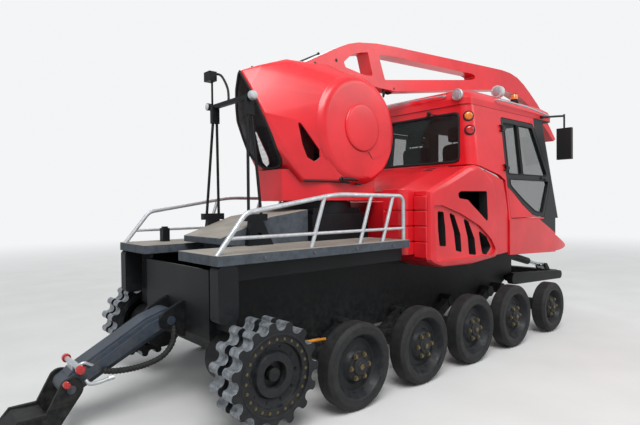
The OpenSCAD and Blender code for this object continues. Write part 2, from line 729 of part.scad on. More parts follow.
// Skin of the hood behind the bulge: place along, height, half width, radius there
hood_rows = [
    [1330, 1870, 450, 40],
    [1010, 1875, 345, 40],
    [905, 2010, 205, 30],
    [780, 2150, 262, 30],
    [645, 2450, 246, 30],
    [570, 2710, 135, 30],
    [545, 2840, 50, 30],
    [700, 2870, 130, 60],
    [1000, 2915, 200, 120],
    [1420, 2920, 280, 120]];
module hood_skin(grow) {
    hull() {
        drum_bulge(grow - bulge_step);
        for (w = hood_rows, s = [right, left])
            translate([w[0], s * (w[2] - w[3]), w[1]]) sphere(w[3] + grow, $fn = 20);
    }
    drum_bulge(grow);
}
// Mouth of the hood, drawn in the plane of its slanted rim: half width at each distance from the top
mouth_top = [495, 2880];
mouth_lean = 23.6;
mouth_rows = [[30, 0], [60, 25], [175, 100], [330, 175], [470, 215], [640, 232], [800, 232], [900, 205], [965, 150], [990, 0]];
module mouth() {
    last = len(mouth_rows) - 1;
    translate([mouth_top[0], 0, mouth_top[1]]) rotate([0, -mouth_lean, 0]) rotate([90, 0, 90])
        translate([0, 0, -400]) linear_extrude(560) polygon(concat([for (w = mouth_rows) [w[1], -w[0]]],
            [for (i = [last - 1 : -1 : 1]) [-mouth_rows[i][1], -mouth_rows[i][0]]]));
}
mast_x = [1180, 1340];
mast_half = 80;
tray_t = 30;
tray_h = 300;
drum_l = 640;
drum_pin_r = 40;
stand_t = 25;
stand_y = drum_l / 2 + 25;
// Plan of the winch base, narrow at the rear, as place along and half width
base_plan = [[840, 200], [1240, 400], [1900, 400], [1980, 330]];
pad_z = 1916;
module base_shape(grow) {
    offset(delta = grow) polygon(concat(base_plan, [for (i = [3 : -1 : 0]) [base_plan[i][0], -base_plan[i][1]]]));
}
module winch_base() {
    wall = 14;
    pad_h = 60;
    color(red) car() union() {
        difference() {
            translate([0, 0, slew_z]) linear_extrude(tray_h) base_shape(0);
            translate([0, 0, slew_z + tray_t]) linear_extrude(tray_h) base_shape(-wall);
        }
        // Pads that carry the hood, and the sole under the mast
        for (s = [right, left]) translate([bulge_x - 60, s > 0 ? 396 : -hood_half + hood_wall + 0.3, pad_z])
            cube([120, hood_half - hood_wall - 396.3, pad_h]);
        translate([mast_x[0] - 40, -mast_half - 40, slew_z + tray_t - 5]) cube([mast_x[1] - mast_x[0] + 80, 2 * mast_half + 80, 40]);
    }
    color(dark) car() both_sides() across(stand_y, stand_y + stand_t) difference() {
        polygon([[bulge_x - 220, slew_z + tray_t - 5], [bulge_x + 220, slew_z + tray_t - 5],
            [bulge_x + 80, bulge_z + 60], [bulge_x - 80, bulge_z + 60]]);
        translate([bulge_x, bulge_z]) circle(drum_pin_r + axle_play);
    }
}
hood_low = 1822;
module winch_hood() {
    slot_low = 2890;
    recess_deep = 8;
    color(red) car() difference() {
        union() {
            hood_skin(0);
            both_sides() translate([bulge_x + 20, hood_half - 30, bulge_z + 20]) along_y() mirror([0, 0, 1])
                cylinder(r = disc_r, h = 30 + disc_t, $fn = 96);
            both_sides() translate([bulge_x - 150, hood_half - 95, hood_low + 38]) along_y() mirror([0, 0, 1])
                linear_extrude(60) rounded(18) translate([-130, -22]) square([260, 44]);
        }
        hood_skin(-hood_wall);
        mouth();
        // Open underside, and the way for the base
        translate([400, -hood_half - 20, hood_low - 200]) cube([2000, 2 * hood_half + 40, 200]);
        translate([0, 0, hood_low - 10]) linear_extrude(slew_z + tray_h + 10 - hood_low + 10) base_shape(10);
        // Slot for the boom and the oval hole behind it
        translate([mast_x[0] - 60, -boom_half - 10, slot_low]) cube([1200, boom_w + 20, 400]);
        translate([970, 0, slot_low - 200]) scale([1, 0.75, 1]) cylinder(r = 105, h = 500, $fn = 48);
        // Slim teardrop vents, one on each side
        both_sides() across(150, hood_half + 20) rounded(12)
            polygon([[905, 2400], [950, 2360], [1120, 2130], [1130, 2060], [1080, 2020], [1010, 2060], [960, 2180]]);
        // Hollow in the drum bulge, low and forward
        both_sides() difference() {
            across(hood_half - recess_deep, hood_half + 20) rounded(20) polygon([[1700, 2190], [1790, 2080], [1950, 2130],
                [2075, 2240], [2120, 2130], [1990, 1960], [1800, 1890], [1640, 1900], [1660, 2060]]);
            translate([bulge_x, hood_half - 20, bulge_z]) along_y() mirror([0, 0, 1]) cylinder(r = disc_r + 15, h = 60);
        }
    }
}
module rope_drum() {
    color(steel_grey) car() translate([bulge_x, 0, bulge_z]) rotate([90, 0, 0]) {
        cylinder(d = drum_d * 0.6, h = drum_l, center = true);
        for (s = [-1, 1]) translate([0, 0, s * (drum_l / 2 - 10)]) cylinder(d = drum_d, h = 20, center = true);
        cylinder(r = drum_pin_r, h = drum_l + 100 + stand_t, center = true);
    }
}
// Rope sheaves in the boom: place along, height, radius
sheave_rows = [[2600, 2985, 52], [6700, 2975, 60]];
sheave_t = 40;
sheave_pin_r = 14;
boom_low = 2955;
// Side view of the boom, upper edge forward and then lower edge back
boom_top_line = [[1100, boom_low], [1160, 3010], [1380, 3130], [1670, 3280], [1840, 3360], [2000, 3410], [2300, 3460],
    [2650, 3490], [3250, 3530], [3930, 3570], [4710, 3622], [5150, 3648], [5400, 3645], [5630, 3610], [5850, 3530],
    [6050, 3430], [6340, 3270], [6600, 3090], [6820, 2920], [boom_tip, 2740]];
boom_low_line = [[6950, 2700], [6640, 2890], [6400, 3040], [6100, 3190], [5800, 3290], [5500, 3340], [5100, 3340],
    [4310, 3225], [3470, 3090], [2640, 2958], [2200, boom_low]];
boom_window_rear = [[1770, 3150], [1880, 3245], [2020, 3300], [2150, 3330], [2230, 3075], [2090, 3065], [1800, 3100]];
boom_window_front = [[2330, 3340], [2520, 3360], [4300, 3450], [4420, 3430], [4350, 3375], [4160, 3340], [2440, 3065]];
module boom() {
    color(red) car() difference() {
        across(-boom_half, boom_half) polygon(concat(boom_top_line, boom_low_line));
        for (w = [boom_window_rear, boom_window_front]) across(-boom_half - 10, boom_half + 10) rounded(22) polygon(w);
        for (w = sheave_rows) translate([w[0], 0, w[1]]) along_y() {
            cylinder(r = w[2] + 12, h = sheave_t + 6, center = true);
            cylinder(r = sheave_pin_r + 0.1, h = boom_w + 20, center = true);
        }
    }
    color(red) car() translate([mast_x[0], -mast_half, slew_z + tray_t + 35.3])
        cube([mast_x[1] - mast_x[0], 2 * mast_half, boom_low - slew_z - tray_t - 35.3]);
}
module boom_sheaves() {
    color(dark) car() for (w = sheave_rows) translate([w[0], 0, w[1]]) along_y() {
        cylinder(r = w[2], h = sheave_t, center = true);
        cylinder(r = sheave_pin_r, h = boom_w, center = true);
    }
}

// Blade frame at the front
frame_end = [5700, 520];
frame_in = 640;
module blade_frame() {
    arm_t = 80;
    color(dark) car() difference() {
        union() {
            both_sides() across(frame_in, frame_in + arm_t) hull() {
                translate(frame_pin) circle(75, $fn = 32);
                translate(frame_end) circle(60, $fn = 32);
            }
            across(-frame_in - 10, frame_in + 10) translate(frame_end - [60, 60]) square([120, 120]);
            both_sides() for (y = lug_rows(lift_y, 50)) across(y, y + lug_t) hull() {
                translate(rod_eye) circle(40, $fn = 32);
                translate(frame_end - [60, 20]) square([40, 80]);
            }
        }
        both_sides() translate([frame_pin[0], frame_in - 10, frame_pin[1]]) rotate([-90, 0, 0])
            cylinder(r = frame_pin_r + axle_play, h = arm_t + 20);
    }
}
// Unit vector of the cylinder at rest
lift_line = rod_eye - barrel_pin;
lift_way = lift_line / norm(lift_line);
module along_lift(from, to, r) {
    a = barrel_pin + lift_way * from;
    b = barrel_pin + lift_way * to;
    bar([a[0], lift_y, a[1]], [b[0], lift_y, b[1]], r);
}
barrel_l = 560;
module lift_barrels() {
    color(dark) car() both_sides() difference() {
        union() {
            along_lift(0, barrel_l, 50);
            translate([barrel_pin[0], lift_y - 50, barrel_pin[1]]) rotate([-90, 0, 0]) cylinder(r = 48, h = 100);
            translate([barrel_pin[0], lift_y - 50 - 3 - lug_t, barrel_pin[1]]) rotate([-90, 0, 0])
                cylinder(r = lift_pin_r, h = 106 + 2 * lug_t);
        }
        along_lift(120, barrel_l + 1, 26);
    }
}
module lift_rods() {
    color(silver) car() both_sides() union() {
        along_lift(barrel_l - 300, norm(lift_line) - 30, 25.5);
        translate([rod_eye[0], lift_y - 50, rod_eye[1]]) rotate([-90, 0, 0]) difference() {
            cylinder(r = 42, h = 100);
            translate([0, 0, -1]) cylinder(r = 22, h = 102);
        }
    }
}

// Rear implement arm and its hook
tip_pin = [-1000, 330];
tip_pin_r = 30;
arm_bend = [-400, 650];
arm_end = [-930, 370];
arm_h = 180;
// Side view of the arm: deep at the pivot, one bend, slimmer at the tip
module arm_side(inset) {
    offset(delta = -inset) union() {
        hull() {
            translate(arm_pin) circle(85, $fn = 32);
            translate(arm_bend) circle(arm_h / 2, $fn = 32);
        }
        hull() {
            translate(arm_bend) circle(arm_h / 2, $fn = 32);
            translate(arm_end) circle(arm_h / 2 - 12, $fn = 32);
        }
    }
}
module rear_arm() {
    edge = 45;
    color(arm_blue) car() union() {
        across(-arm_half + edge, arm_half - edge) arm_side(0);
        across(-arm_half + edge / 2, arm_half - edge / 2) arm_side(edge / 2.6);
        across(-arm_half, arm_half) arm_side(edge);
        across(-arm_half + 20, arm_half - 20) hull() {
            translate(arm_end) circle(60, $fn = 32);
            translate(tip_pin) circle(60, $fn = 32);
        }
        translate([arm_pin[0], -arm_half - 5 - 1.5 * lug_t, arm_pin[1]]) rotate([-90, 0, 0])
            cylinder(r = arm_pin_r, h = 2 * (arm_half + 5 + 1.5 * lug_t));
        translate([tip_pin[0], -arm_half - 40, tip_pin[1]]) rotate([-90, 0, 0])
            cylinder(r = tip_pin_r, h = 2 * (arm_half + 40));
    }
}
module rear_hook() {
    cheek_t = 30;
    color(dark) car() union() {
        both_sides() across(arm_half + 5, arm_half + 5 + cheek_t) difference() {
            union() {
                hull() {
                    translate(tip_pin) circle(80, $fn = 32);
                    translate([-1150, 90]) circle(60, $fn = 32);
                }
                polygon([[-1160, 30], [-1060, 0], [-1200, 0], [hook_tip, 120], [-1330, 200], [-1150, 200]]);
            }
            translate(tip_pin) circle(tip_pin_r + 0.3);
        }
        across(-arm_half - 10, arm_half + 10)
            polygon([[-1060, 0], [-1200, 0], [hook_tip, 120], [-1330, 190], [-1150, 180], [-1110, 120]]);
    }
}

module sprocket_right() { sprocket(right); }
module sprocket_left() { sprocket(left); }
module wheel_row(i, side) { road_wheel(wheel_rows[i][0], wheel_rows[i][1], wheel_rows[i][2], side); }
module idler_right() { wheel_row(4, right); }
module idler_left() { wheel_row(4, left); }
module road_wheel_r1() { wheel_row(0, right); }
module road_wheel_r2() { wheel_row(1, right); }
module road_wheel_r3() { wheel_row(2, right); }
module road_wheel_r4() { wheel_row(3, right); }
module road_wheel_l1() { wheel_row(0, left); }
module road_wheel_l2() { wheel_row(1, left); }
module road_wheel_l3() { wheel_row(2, left); }
module road_wheel_l4() { wheel_row(3, left); }

chassis_tub();
wheel_arms();
final_drives();
engine_block();
load_deck();
rear_panels();
side_tanks();
rail_right();
rail_left();
cutout_cover();
winch_pedestal();
lamp_portal();
side_box_right();
side_box_left();
pod_right();
pod_left();
engine_cover();
nose_body();
cab_floor();
cab_shell();
cab_roof();
windscreen();
rear_window();
door_right();
door_left();
door_panel_right();
door_panel_left();
beacon();
door_glass_right();
door_glass_left();
seats();
console();
roof_lamps();
mirrors();
winch_base();
winch_hood();
rope_drum();
boom();
boom_sheaves();
blade_frame();
lift_barrels();
lift_rods();
rear_arm();
rear_hook();
sprocket_right();
sprocket_left();
idler_right();
idler_left();
road_wheel_r1();
road_wheel_r2();
road_wheel_r3();
road_wheel_r4();
road_wheel_l1();
road_wheel_l2();
road_wheel_l3();
road_wheel_l4();
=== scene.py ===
# Looks of a winch snow groomer that stands on its road wheels with its tracks off
import json
import math

import bmesh
import bpy
from mathutils import Matrix, Vector


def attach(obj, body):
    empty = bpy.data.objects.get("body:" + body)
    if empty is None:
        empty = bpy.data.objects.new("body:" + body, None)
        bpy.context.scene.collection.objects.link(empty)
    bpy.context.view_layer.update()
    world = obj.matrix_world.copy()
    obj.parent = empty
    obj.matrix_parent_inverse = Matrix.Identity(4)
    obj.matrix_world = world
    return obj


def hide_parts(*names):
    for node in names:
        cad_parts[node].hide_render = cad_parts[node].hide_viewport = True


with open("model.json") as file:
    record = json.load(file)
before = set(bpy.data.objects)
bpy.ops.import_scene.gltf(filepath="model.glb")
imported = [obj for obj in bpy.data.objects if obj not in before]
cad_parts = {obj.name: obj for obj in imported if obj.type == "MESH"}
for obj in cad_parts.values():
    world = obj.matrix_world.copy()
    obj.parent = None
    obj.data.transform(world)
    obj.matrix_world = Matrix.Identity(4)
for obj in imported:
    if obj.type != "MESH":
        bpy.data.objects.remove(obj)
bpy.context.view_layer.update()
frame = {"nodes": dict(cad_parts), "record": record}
MM = 0.001
NODES = frame["nodes"]
BODY_OF = {node: body for body, names in frame["record"]["behaviour"]["bodies"].items() for node in names}
SLOT_OF = {row["node"]: row["material_slot"] for row in frame["record"]["subparts"]}


# Colours and nodes
def linear(code):
    """sRGB hex to a linear colour with alpha 1"""
    parts = [int(code[i:i + 2], 16) / 255 for i in (1, 3, 5)]
    return [c / 12.92 if c <= 0.04045 else ((c + 0.055) / 1.055) ** 2.4 for c in parts] + [1.0]


def add(tree, kind, links=None, **settings):
    """Adds a node. A setting names a socket, after in_ and by number or name, or a property of the node.
    A link comes from a socket, or from the first output of a node"""
    node = tree.nodes.new(kind)
    for name, value in settings.items():
        if name.startswith("in_"):
            key = name[3:]
            node.inputs[int(key) if key.isdigit() else key.replace("_", " ")].default_value = value
        else:
            setattr(node, name, value)
    for key, source in (links or {}).items():
        socket = source.outputs[0] if isinstance(source, bpy.types.Node) else source
        tree.links.new(socket, node.inputs[key])
    return node


def new_material(name):
    """An empty material, with its tree and the Object coordinates of its piece"""
    material = bpy.data.materials.new(name)
    material.use_nodes = True
    tree = material.node_tree
    tree.nodes.clear()
    return material, tree, add(tree, "ShaderNodeTexCoord").outputs["Object"]


def facing_up(tree):
    """1 on top faces and 0 on upright faces and on those that look down, where dust does not lie"""
    shape = add(tree, "ShaderNodeNewGeometry")
    split = add(tree, "ShaderNodeSeparateXYZ", {0: shape.outputs["Normal"]})
    return add(tree, "ShaderNodeMapRange", {0: split.outputs[2]}, in_From_Min=0.25, in_From_Max=0.95)


# Materials. A noise is as wide as its Scale says, in mm, and a Map Range sharpens it into patches
def sprayed_enamel(name, colour, deep, dust, rough, coat=0.0, dusty=0.35, splashed=False, peel=0.1,
                   shine=0.5):
    """Two-pack enamel, sprayed on steel and moulded panels: large soft changes of tone, an orange peel about
    3 mm wide in the gloss, and dust on top faces. A splashed one is muddy towards the ground"""
    material, tree, place = new_material(name)
    cloud = add(tree, "ShaderNodeTexNoise", {"Vector": place}, in_Scale=1 / (420 * MM), in_Detail=3.0,
                in_Roughness=0.5)
    tone = add(tree, "ShaderNodeMapRange", {0: cloud}, in_From_Min=0.35, in_From_Max=0.65)
    paint = add(tree, "ShaderNodeMix", {0: tone}, data_type="RGBA", in_6=linear(colour), in_7=linear(deep))
    grit = add(tree, "ShaderNodeTexNoise", {"Vector": place}, in_Scale=1 / (35 * MM), in_Detail=6.0,
               in_Roughness=0.65)
    specks = add(tree, "ShaderNodeMapRange", {0: grit}, in_From_Min=0.45, in_From_Max=0.75, in_To_Max=dusty)
    settled = add(tree, "ShaderNodeMath", {0: specks, 1: facing_up(tree)}, operation="MULTIPLY")
    if splashed:
        height = add(tree, "ShaderNodeSeparateXYZ", {0: place})
        low_down = add(tree, "ShaderNodeMapRange", {0: height.outputs[2]}, in_From_Min=1.1, in_From_Max=0.2)
        splash = add(tree, "ShaderNodeTexNoise", {"Vector": place}, in_Scale=1 / (60 * MM), in_Detail=8.0,
                     in_Roughness=0.7)
        blots = add(tree, "ShaderNodeMapRange", {0: splash}, in_From_Min=0.42, in_From_Max=0.62,
                    in_To_Max=0.45)
        mud = add(tree, "ShaderNodeMath", {0: blots, 1: low_down}, operation="MULTIPLY")
        settled = add(tree, "ShaderNodeMath", {0: settled, 1: mud}, operation="MAXIMUM")
    seen = add(tree, "ShaderNodeMix", {0: settled, 6: paint.outputs[2]}, data_type="RGBA", in_7=linear(dust))
    dull = add(tree, "ShaderNodeMapRange", {0: settled}, in_From_Max=0.5, in_To_Min=rough, in_To_Max=0.75)
    skin = add(tree, "ShaderNodeTexNoise", {"Vector": place}, in_Scale=1 / (3 * MM), in_Detail=2.0,
               in_Roughness=0.5)
    dimples = add(tree, "ShaderNodeMapRange", {0: skin}, in_From_Min=0.2, in_From_Max=0.8)
    bump = add(tree, "ShaderNodeBump", {"Height": dimples}, in_Strength=peel, in_Distance=0.2 * MM)
    surface = add(tree, "ShaderNodeBsdfPrincipled", {
        "Base Color": seen.outputs[2], "Roughness": dull, "Normal": bump},
        in_Coat_Weight=coat, in_Coat_Roughness=0.12, in_Specular_IOR_Level=shine)
    add(tree, "ShaderNodeOutputMaterial", {"Surface": surface})
    return material


def galvanised_sheet():
    """Hot-dip galvanised steel sheet: dull grey-blue spangle about 26 mm wide, with patches of grime"""
    material, tree, place = new_material("galvanised_steel_sheet")
    spangle = add(tree, "ShaderNodeTexVoronoi", {"Vector": place}, in_Scale=1 / (26 * MM))
    zinc = add(tree, "ShaderNodeMix", {0: spangle}, data_type="RGBA",
               in_6=linear("#8c949b"), in_7=linear("#6d757c"))
    cloud = add(tree, "ShaderNodeTexNoise", {"Vector": place}, in_Scale=1 / (180 * MM), in_Detail=6.0,
                in_Roughness=0.65)
    grime = add(tree, "ShaderNodeMapRange", {0: cloud}, in_From_Min=0.4, in_From_Max=0.7, in_To_Max=0.5)
    seen = add(tree, "ShaderNodeMix", {0: grime, 6: zinc.outputs[2]}, data_type="RGBA",
               in_7=linear("#6c675e"))
    surface = add(tree, "ShaderNodeBsdfPrincipled", {"Base Color": seen.outputs[2]}, in_Metallic=0.55,
                  in_Roughness=0.5)
    add(tree, "ShaderNodeOutputMaterial", {"Surface": surface})
    return material


def muddy_deck():
    """Folded zinc-coated steel deck: a matt crust of dried mud on its top, and dull blue-grey zinc on its
    edges, with specks of rust about 30 mm wide"""
    material, tree, place = new_material("zinc_deck_under_dried_mud")
    crust = add(tree, "ShaderNodeTexNoise", {"Vector": place}, in_Scale=1 / (260 * MM), in_Detail=8.0,
                in_Roughness=0.7)
    thick = add(tree, "ShaderNodeMapRange", {0: crust}, in_From_Min=0.35, in_From_Max=0.7)
    top = add(tree, "ShaderNodeMix", {0: thick}, data_type="RGBA",
              in_6=linear("#9a948a"), in_7=linear("#7c776e"))
    cloud = add(tree, "ShaderNodeTexNoise", {"Vector": place}, in_Scale=1 / (70 * MM), in_Detail=8.0,
                in_Roughness=0.7)
    tone = add(tree, "ShaderNodeMapRange", {0: cloud}, in_From_Min=0.4, in_From_Max=0.66)
    zinc = add(tree, "ShaderNodeMix", {0: tone}, data_type="RGBA",
               in_6=linear("#4d545c"), in_7=linear("#3a4047"))
    pits = add(tree, "ShaderNodeTexNoise", {"Vector": place}, in_Scale=1 / (30 * MM), in_Detail=9.0,
               in_Roughness=0.75)
    rust = add(tree, "ShaderNodeMapRange", {0: pits}, in_From_Min=0.64, in_From_Max=0.7, in_To_Max=0.6)
    edge = add(tree, "ShaderNodeMix", {0: rust, 6: zinc.outputs[2]}, data_type="RGBA", in_7=linear("#7a4e33"))
    seen = add(tree, "ShaderNodeMix", {0: facing_up(tree), 6: edge.outputs[2], 7: top.outputs[2]},
               data_type="RGBA")
    grain = add(tree, "ShaderNodeTexNoise", {"Vector": place}, in_Scale=1 / (9 * MM), in_Detail=5.0,
                in_Roughness=0.7)
    lumps = add(tree, "ShaderNodeMapRange", {0: grain}, in_From_Min=0.3, in_From_Max=0.7)
    bump = add(tree, "ShaderNodeBump", {"Height": lumps}, in_Strength=0.3, in_Distance=0.8 * MM)
    surface = add(tree, "ShaderNodeBsdfPrincipled", {"Base Color": seen.outputs[2], "Normal": bump},
                  in_Roughness=0.8)
    add(tree, "ShaderNodeOutputMaterial", {"Surface": surface})
    return material


def stainless_tube():
    """Drawn stainless steel tube with a satin finish: pale, softly reflecting, in patches a little duller"""
    material, tree, place = new_material("satin_stainless_tube")
    cloud = add(tree, "ShaderNodeTexNoise", {"Vector": place}, in_Scale=1 / (60 * MM), in_Detail=4.0,
                in_Roughness=0.6)
    tone = add(tree, "ShaderNodeMapRange", {0: cloud}, in_From_Min=0.35, in_From_Max=0.65)
    steel = add(tree, "ShaderNodeMix", {0: tone}, data_type="RGBA",
                in_6=linear("#cdd0d3"), in_7=linear("#b6babd"))
    dull = add(tree, "ShaderNodeMapRange", {0: tone}, in_To_Min=0.36, in_To_Max=0.5)
    surface = add(tree, "ShaderNodeBsdfPrincipled", {"Base Color": steel.outputs[2], "Roughness": dull},
                  in_Metallic=0.6)
    add(tree, "ShaderNodeOutputMaterial", {"Surface": surface})
    return material


def cast_teeth():
    """Sand-cast steel teeth, rubbed bright by the track: pale grey with patches of dark scale, and a grain
    about 5 mm wide, which is coarser than the sand was so that it shows"""
    material, tree, place = new_material("sand_cast_steel")
    cloud = add(tree, "ShaderNodeTexNoise", {"Vector": place}, in_Scale=1 / (45 * MM), in_Detail=7.0,
                in_Roughness=0.7)
    scale = add(tree, "ShaderNodeMapRange", {0: cloud}, in_From_Min=0.35, in_From_Max=0.68)
    steel = add(tree, "ShaderNodeMix", {0: scale}, data_type="RGBA",
                in_6=linear("#a4a9ae"), in_7=linear("#565b60"))
    sand = add(tree, "ShaderNodeTexNoise", {"Vector": place}, in_Scale=1 / (5 * MM), in_Detail=4.0,
               in_Roughness=0.6)
    grain = add(tree, "ShaderNodeMapRange", {0: sand}, in_From_Min=0.3, in_From_Max=0.7)
    bump = add(tree, "ShaderNodeBump", {"Height": grain}, in_Strength=0.4, in_Distance=0.6 * MM)
    surface = add(tree, "ShaderNodeBsdfPrincipled", {"Base Color": steel.outputs[2], "Normal": bump},
                  in_Metallic=0.5, in_Roughness=0.45)
    add(tree, "ShaderNodeOutputMaterial", {"Surface": surface})
    return material


def moulded_rubber(name, colour, dust):
    """Moulded and vulcanised rubber: near black and matt, with a fine grain, greyed in patches by mud"""
    material, tree, place = new_material(name)
    cloud = add(tree, "ShaderNodeTexNoise", {"Vector": place}, in_Scale=1 / (70 * MM), in_Detail=7.0,
                in_Roughness=0.7)
    mud = add(tree, "ShaderNodeMapRange", {0: cloud}, in_From_Min=0.42, in_From_Max=0.72, in_To_Max=0.35)
    seen = add(tree, "ShaderNodeMix", {0: mud}, data_type="RGBA", in_6=linear(colour), in_7=linear(dust))
    skin = add(tree, "ShaderNodeTexNoise", {"Vector": place}, in_Scale=1 / (4 * MM), in_Detail=3.0,
               in_Roughness=0.6)
    grain = add(tree, "ShaderNodeMapRange", {0: skin}, in_From_Min=0.3, in_From_Max=0.7)
    bump = add(tree, "ShaderNodeBump", {"Height": grain}, in_Strength=0.25, in_Distance=0.4 * MM)
    surface = add(tree, "ShaderNodeBsdfPrincipled", {"Base Color": seen.outputs[2], "Normal": bump},
                  in_Roughness=0.72)
    add(tree, "ShaderNodeOutputMaterial", {"Surface": surface})
    return material


def safety_glass():
    """Laminated float glass with a green tint: dark but clear, with sharp reflections of the sky"""
    material, tree = new_material("tinted_safety_glass")[:2]
    surface = add(tree, "ShaderNodeBsdfPrincipled", in_Base_Color=linear("#22302e"), in_Roughness=0.02,
                  in_IOR=1.45, in_Alpha=0.3, in_Specular_IOR_Level=0.7)
    add(tree, "ShaderNodeOutputMaterial", {"Surface": surface})
    return material


# A Wave texture of scale 1 draws about so many bands in a metre, light and dark ones alike
BANDS_A_METRE = 6.28


def seat_cloth():
    """Woven polyester seat cloth: dark and matt in two greys. A thread is drawn 4 mm wide so that it shows"""
    material, tree, place = new_material("woven_polyester_cloth")
    threads = add(tree, "ShaderNodeTexWave", {"Vector": place}, in_Scale=1 / (4 * MM) / BANDS_A_METRE)
    weave = threads.outputs["Fac"]
    seen = add(tree, "ShaderNodeMix", {0: weave}, data_type="RGBA",
               in_6=linear("#17181b"), in_7=linear("#26282c"))
    bump = add(tree, "ShaderNodeBump", {"Height": weave}, in_Strength=0.3, in_Distance=0.6 * MM)
    surface = add(tree, "ShaderNodeBsdfPrincipled", {"Base Color": seen.outputs[2], "Normal": bump},
                  in_Roughness=0.95)
    add(tree, "ShaderNodeOutputMaterial", {"Surface": surface})
    return material


def pressed_lamp_glass():
    """Clear pressed glass over a bright reflector: silvery, with ribs about 9 mm wide that spread light. The
    ribs are bumps, and they are also painted glints in pale and darker bands
    """
    material, tree, place = new_material("pressed_lamp_glass")
    ribs = add(tree, "ShaderNodeTexWave", {"Vector": place}, bands_direction="Y",
               in_Scale=1 / (9 * MM) / BANDS_A_METRE).outputs["Fac"]
    # Pale and darker bands along the ribs are painted glints
    seen = add(tree, "ShaderNodeMix", {0: ribs}, data_type="RGBA",
               in_6=linear("#c9cdd0"), in_7=linear("#8f9498"))
    bump = add(tree, "ShaderNodeBump", {"Height": ribs}, in_Strength=0.4, in_Distance=1.0 * MM)
    surface = add(tree, "ShaderNodeBsdfPrincipled", {"Base Color": seen.outputs[2], "Normal": bump},
                  in_Metallic=0.5, in_Roughness=0.15, in_Coat_Weight=0.6)
    add(tree, "ShaderNodeOutputMaterial", {"Surface": surface})
    return material


def even_finish(name, colour, rough, metal=0.0, coat=0.0):
    """A moulded, plated or cast finish of one colour, with a soft change of tone in patches 30 mm wide"""
    material, tree, place = new_material(name)
    cloud = add(tree, "ShaderNodeTexNoise", {"Vector": place}, in_Scale=1 / (30 * MM), in_Detail=4.0,
                in_Roughness=0.6)
    tone = add(tree, "ShaderNodeMapRange", {0: cloud}, in_From_Min=0.35, in_From_Max=0.65)
    pale = linear(colour)
    darker = [c * 0.76 for c in pale[:3]] + [1.0]
    seen = add(tree, "ShaderNodeMix", {0: tone}, data_type="RGBA", in_6=pale, in_7=darker)
    surface = add(tree, "ShaderNodeBsdfPrincipled", {"Base Color": seen.outputs[2]}, in_Roughness=rough,
                  in_Metallic=metal, in_Coat_Weight=coat)
    add(tree, "ShaderNodeOutputMaterial", {"Surface": surface})
    return material


# Red enamel under clear coat: deep and glossy, with a faint peel and a thin film of dust
RED = sprayed_enamel("clear_coated_red_enamel", "#e41f2b", "#d21722", "#cc8078", rough=0.34, coat=0.25,
                     dusty=0.12, peel=0.03)
# Black chassis enamel: half gloss, greyed by dust on top and by mud low down
BLACK = sprayed_enamel("black_chassis_enamel", "#15181c", "#0d0f12", "#4a4843", rough=0.5, dusty=0.4,
                       splashed=True, shine=0.25)
# Blue-grey machinery enamel of the rear arm: a cooler and paler half gloss
ARM = sprayed_enamel("blue_grey_enamel", "#3b4552", "#2c343f", "#6a665e", rough=0.42, splashed=True)
# Blue-black enamel of the pressed wheel discs: a harder gloss, muddy low down
DISC = sprayed_enamel("blue_black_enamel", "#151a20", "#101318", "#403e3a", rough=0.4, dusty=0.2,
                      splashed=True, shine=0.3)
ZINC = galvanised_sheet()
DECK = muddy_deck()
TUBE = stainless_tube()
CAST = cast_teeth()
RUBBER = moulded_rubber("tyre_rubber", "#101114", "#413f3b")
# Extruded seal rubber: blacker and cleaner than the tyres
SEAL = moulded_rubber("extruded_seal_rubber", "#0c0c0e", "#2a2927")
GLASS = safety_glass()
CLOTH = seat_cloth()
# Hard chrome on a ground rod: close to a mirror
CHROME = even_finish("hard_chrome", "#cfd3d6", 0.12, 1.0)
# Cast iron of the engine, unpainted and oily: dark, with a dull sheen
ENGINE = even_finish("oily_cast_iron", "#2c2e31", 0.6, 0.3)
# Zinc plate with yellow chromate, dulled by mud: brassy heads against the dark discs
YELLOW_ZINC = even_finish("yellow_zinc_plate", "#76694c", 0.45, 0.7)
# Bright zinc plate on small screws, weathered: grey heads with a soft highlight
BOLT = even_finish("weathered_zinc_plate", "#6f7276", 0.42, 0.75)
# Black glass-filled nylon, moulded: satin, without metal's hard highlights
PLASTIC = even_finish("black_nylon_moulding", "#121315", 0.5)
# Raw glass-fibre laminate inside the hood: a matt mid grey
GREY_SHELL = even_finish("raw_glass_fibre", "#85888c", 0.6)
# Moulded foam lining of the cab, dark and matt: partly its own colour and partly painted shade inside the cab
# and under the roof, so that the glass looks deep
LINING_AND_SHADE = even_finish("moulded_foam_lining", "#1d1e21", 0.8)
# Painted shade: near black on the hollows of the pods and the engine cover and on the walls of the slots,
# where shade falls
SHADE = even_finish("matt_primer", "#0b0b0d", 0.9)
LAMP_LENS = pressed_lamp_glass()
# Woven polyester tie: a bright and matt orange yellow
STRAP = even_finish("polyester_webbing", "#d98a22", 0.7)
# Moulded acrylic lenses: saturated and glossy
LAMP_WHITE = even_finish("white_acrylic", "#d9dcde", 0.18, 0.1, 0.5)
LAMP_AMBER = even_finish("amber_acrylic", "#e87a1a", 0.2, 0.0, 0.6)
LAMP_RED = even_finish("red_acrylic", "#c41616", 0.2, 0.0, 0.6)
SLOT_LOOK = {
    "red_paint": RED, "black_paint": BLACK, "galvanised": ZINC, "silver_tube": TUBE, "arm_paint": ARM,
    "cast_teeth": CAST, "wheel_rubber": RUBBER, "glass": GLASS, "seat_fabric": CLOTH, "engine": ENGINE,
    "lamp": LAMP_WHITE, "rod_chrome": CHROME}


# Mesh helpers
def finished(name, mesh, material, body, slot, smooth=40):
    """Makes an object at the origin, with its place in its mesh, that rides on a body"""
    piece = bpy.data.objects.new(name, mesh)
    bpy.context.scene.collection.objects.link(piece)
    if material is not None:
        mesh.materials.clear()
        mesh.materials.append(material)
    for face in mesh.polygons:
        face.use_smooth = True
    mesh.set_sharp_from_angle(angle=math.radians(smooth))
    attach(piece, body)
    return piece


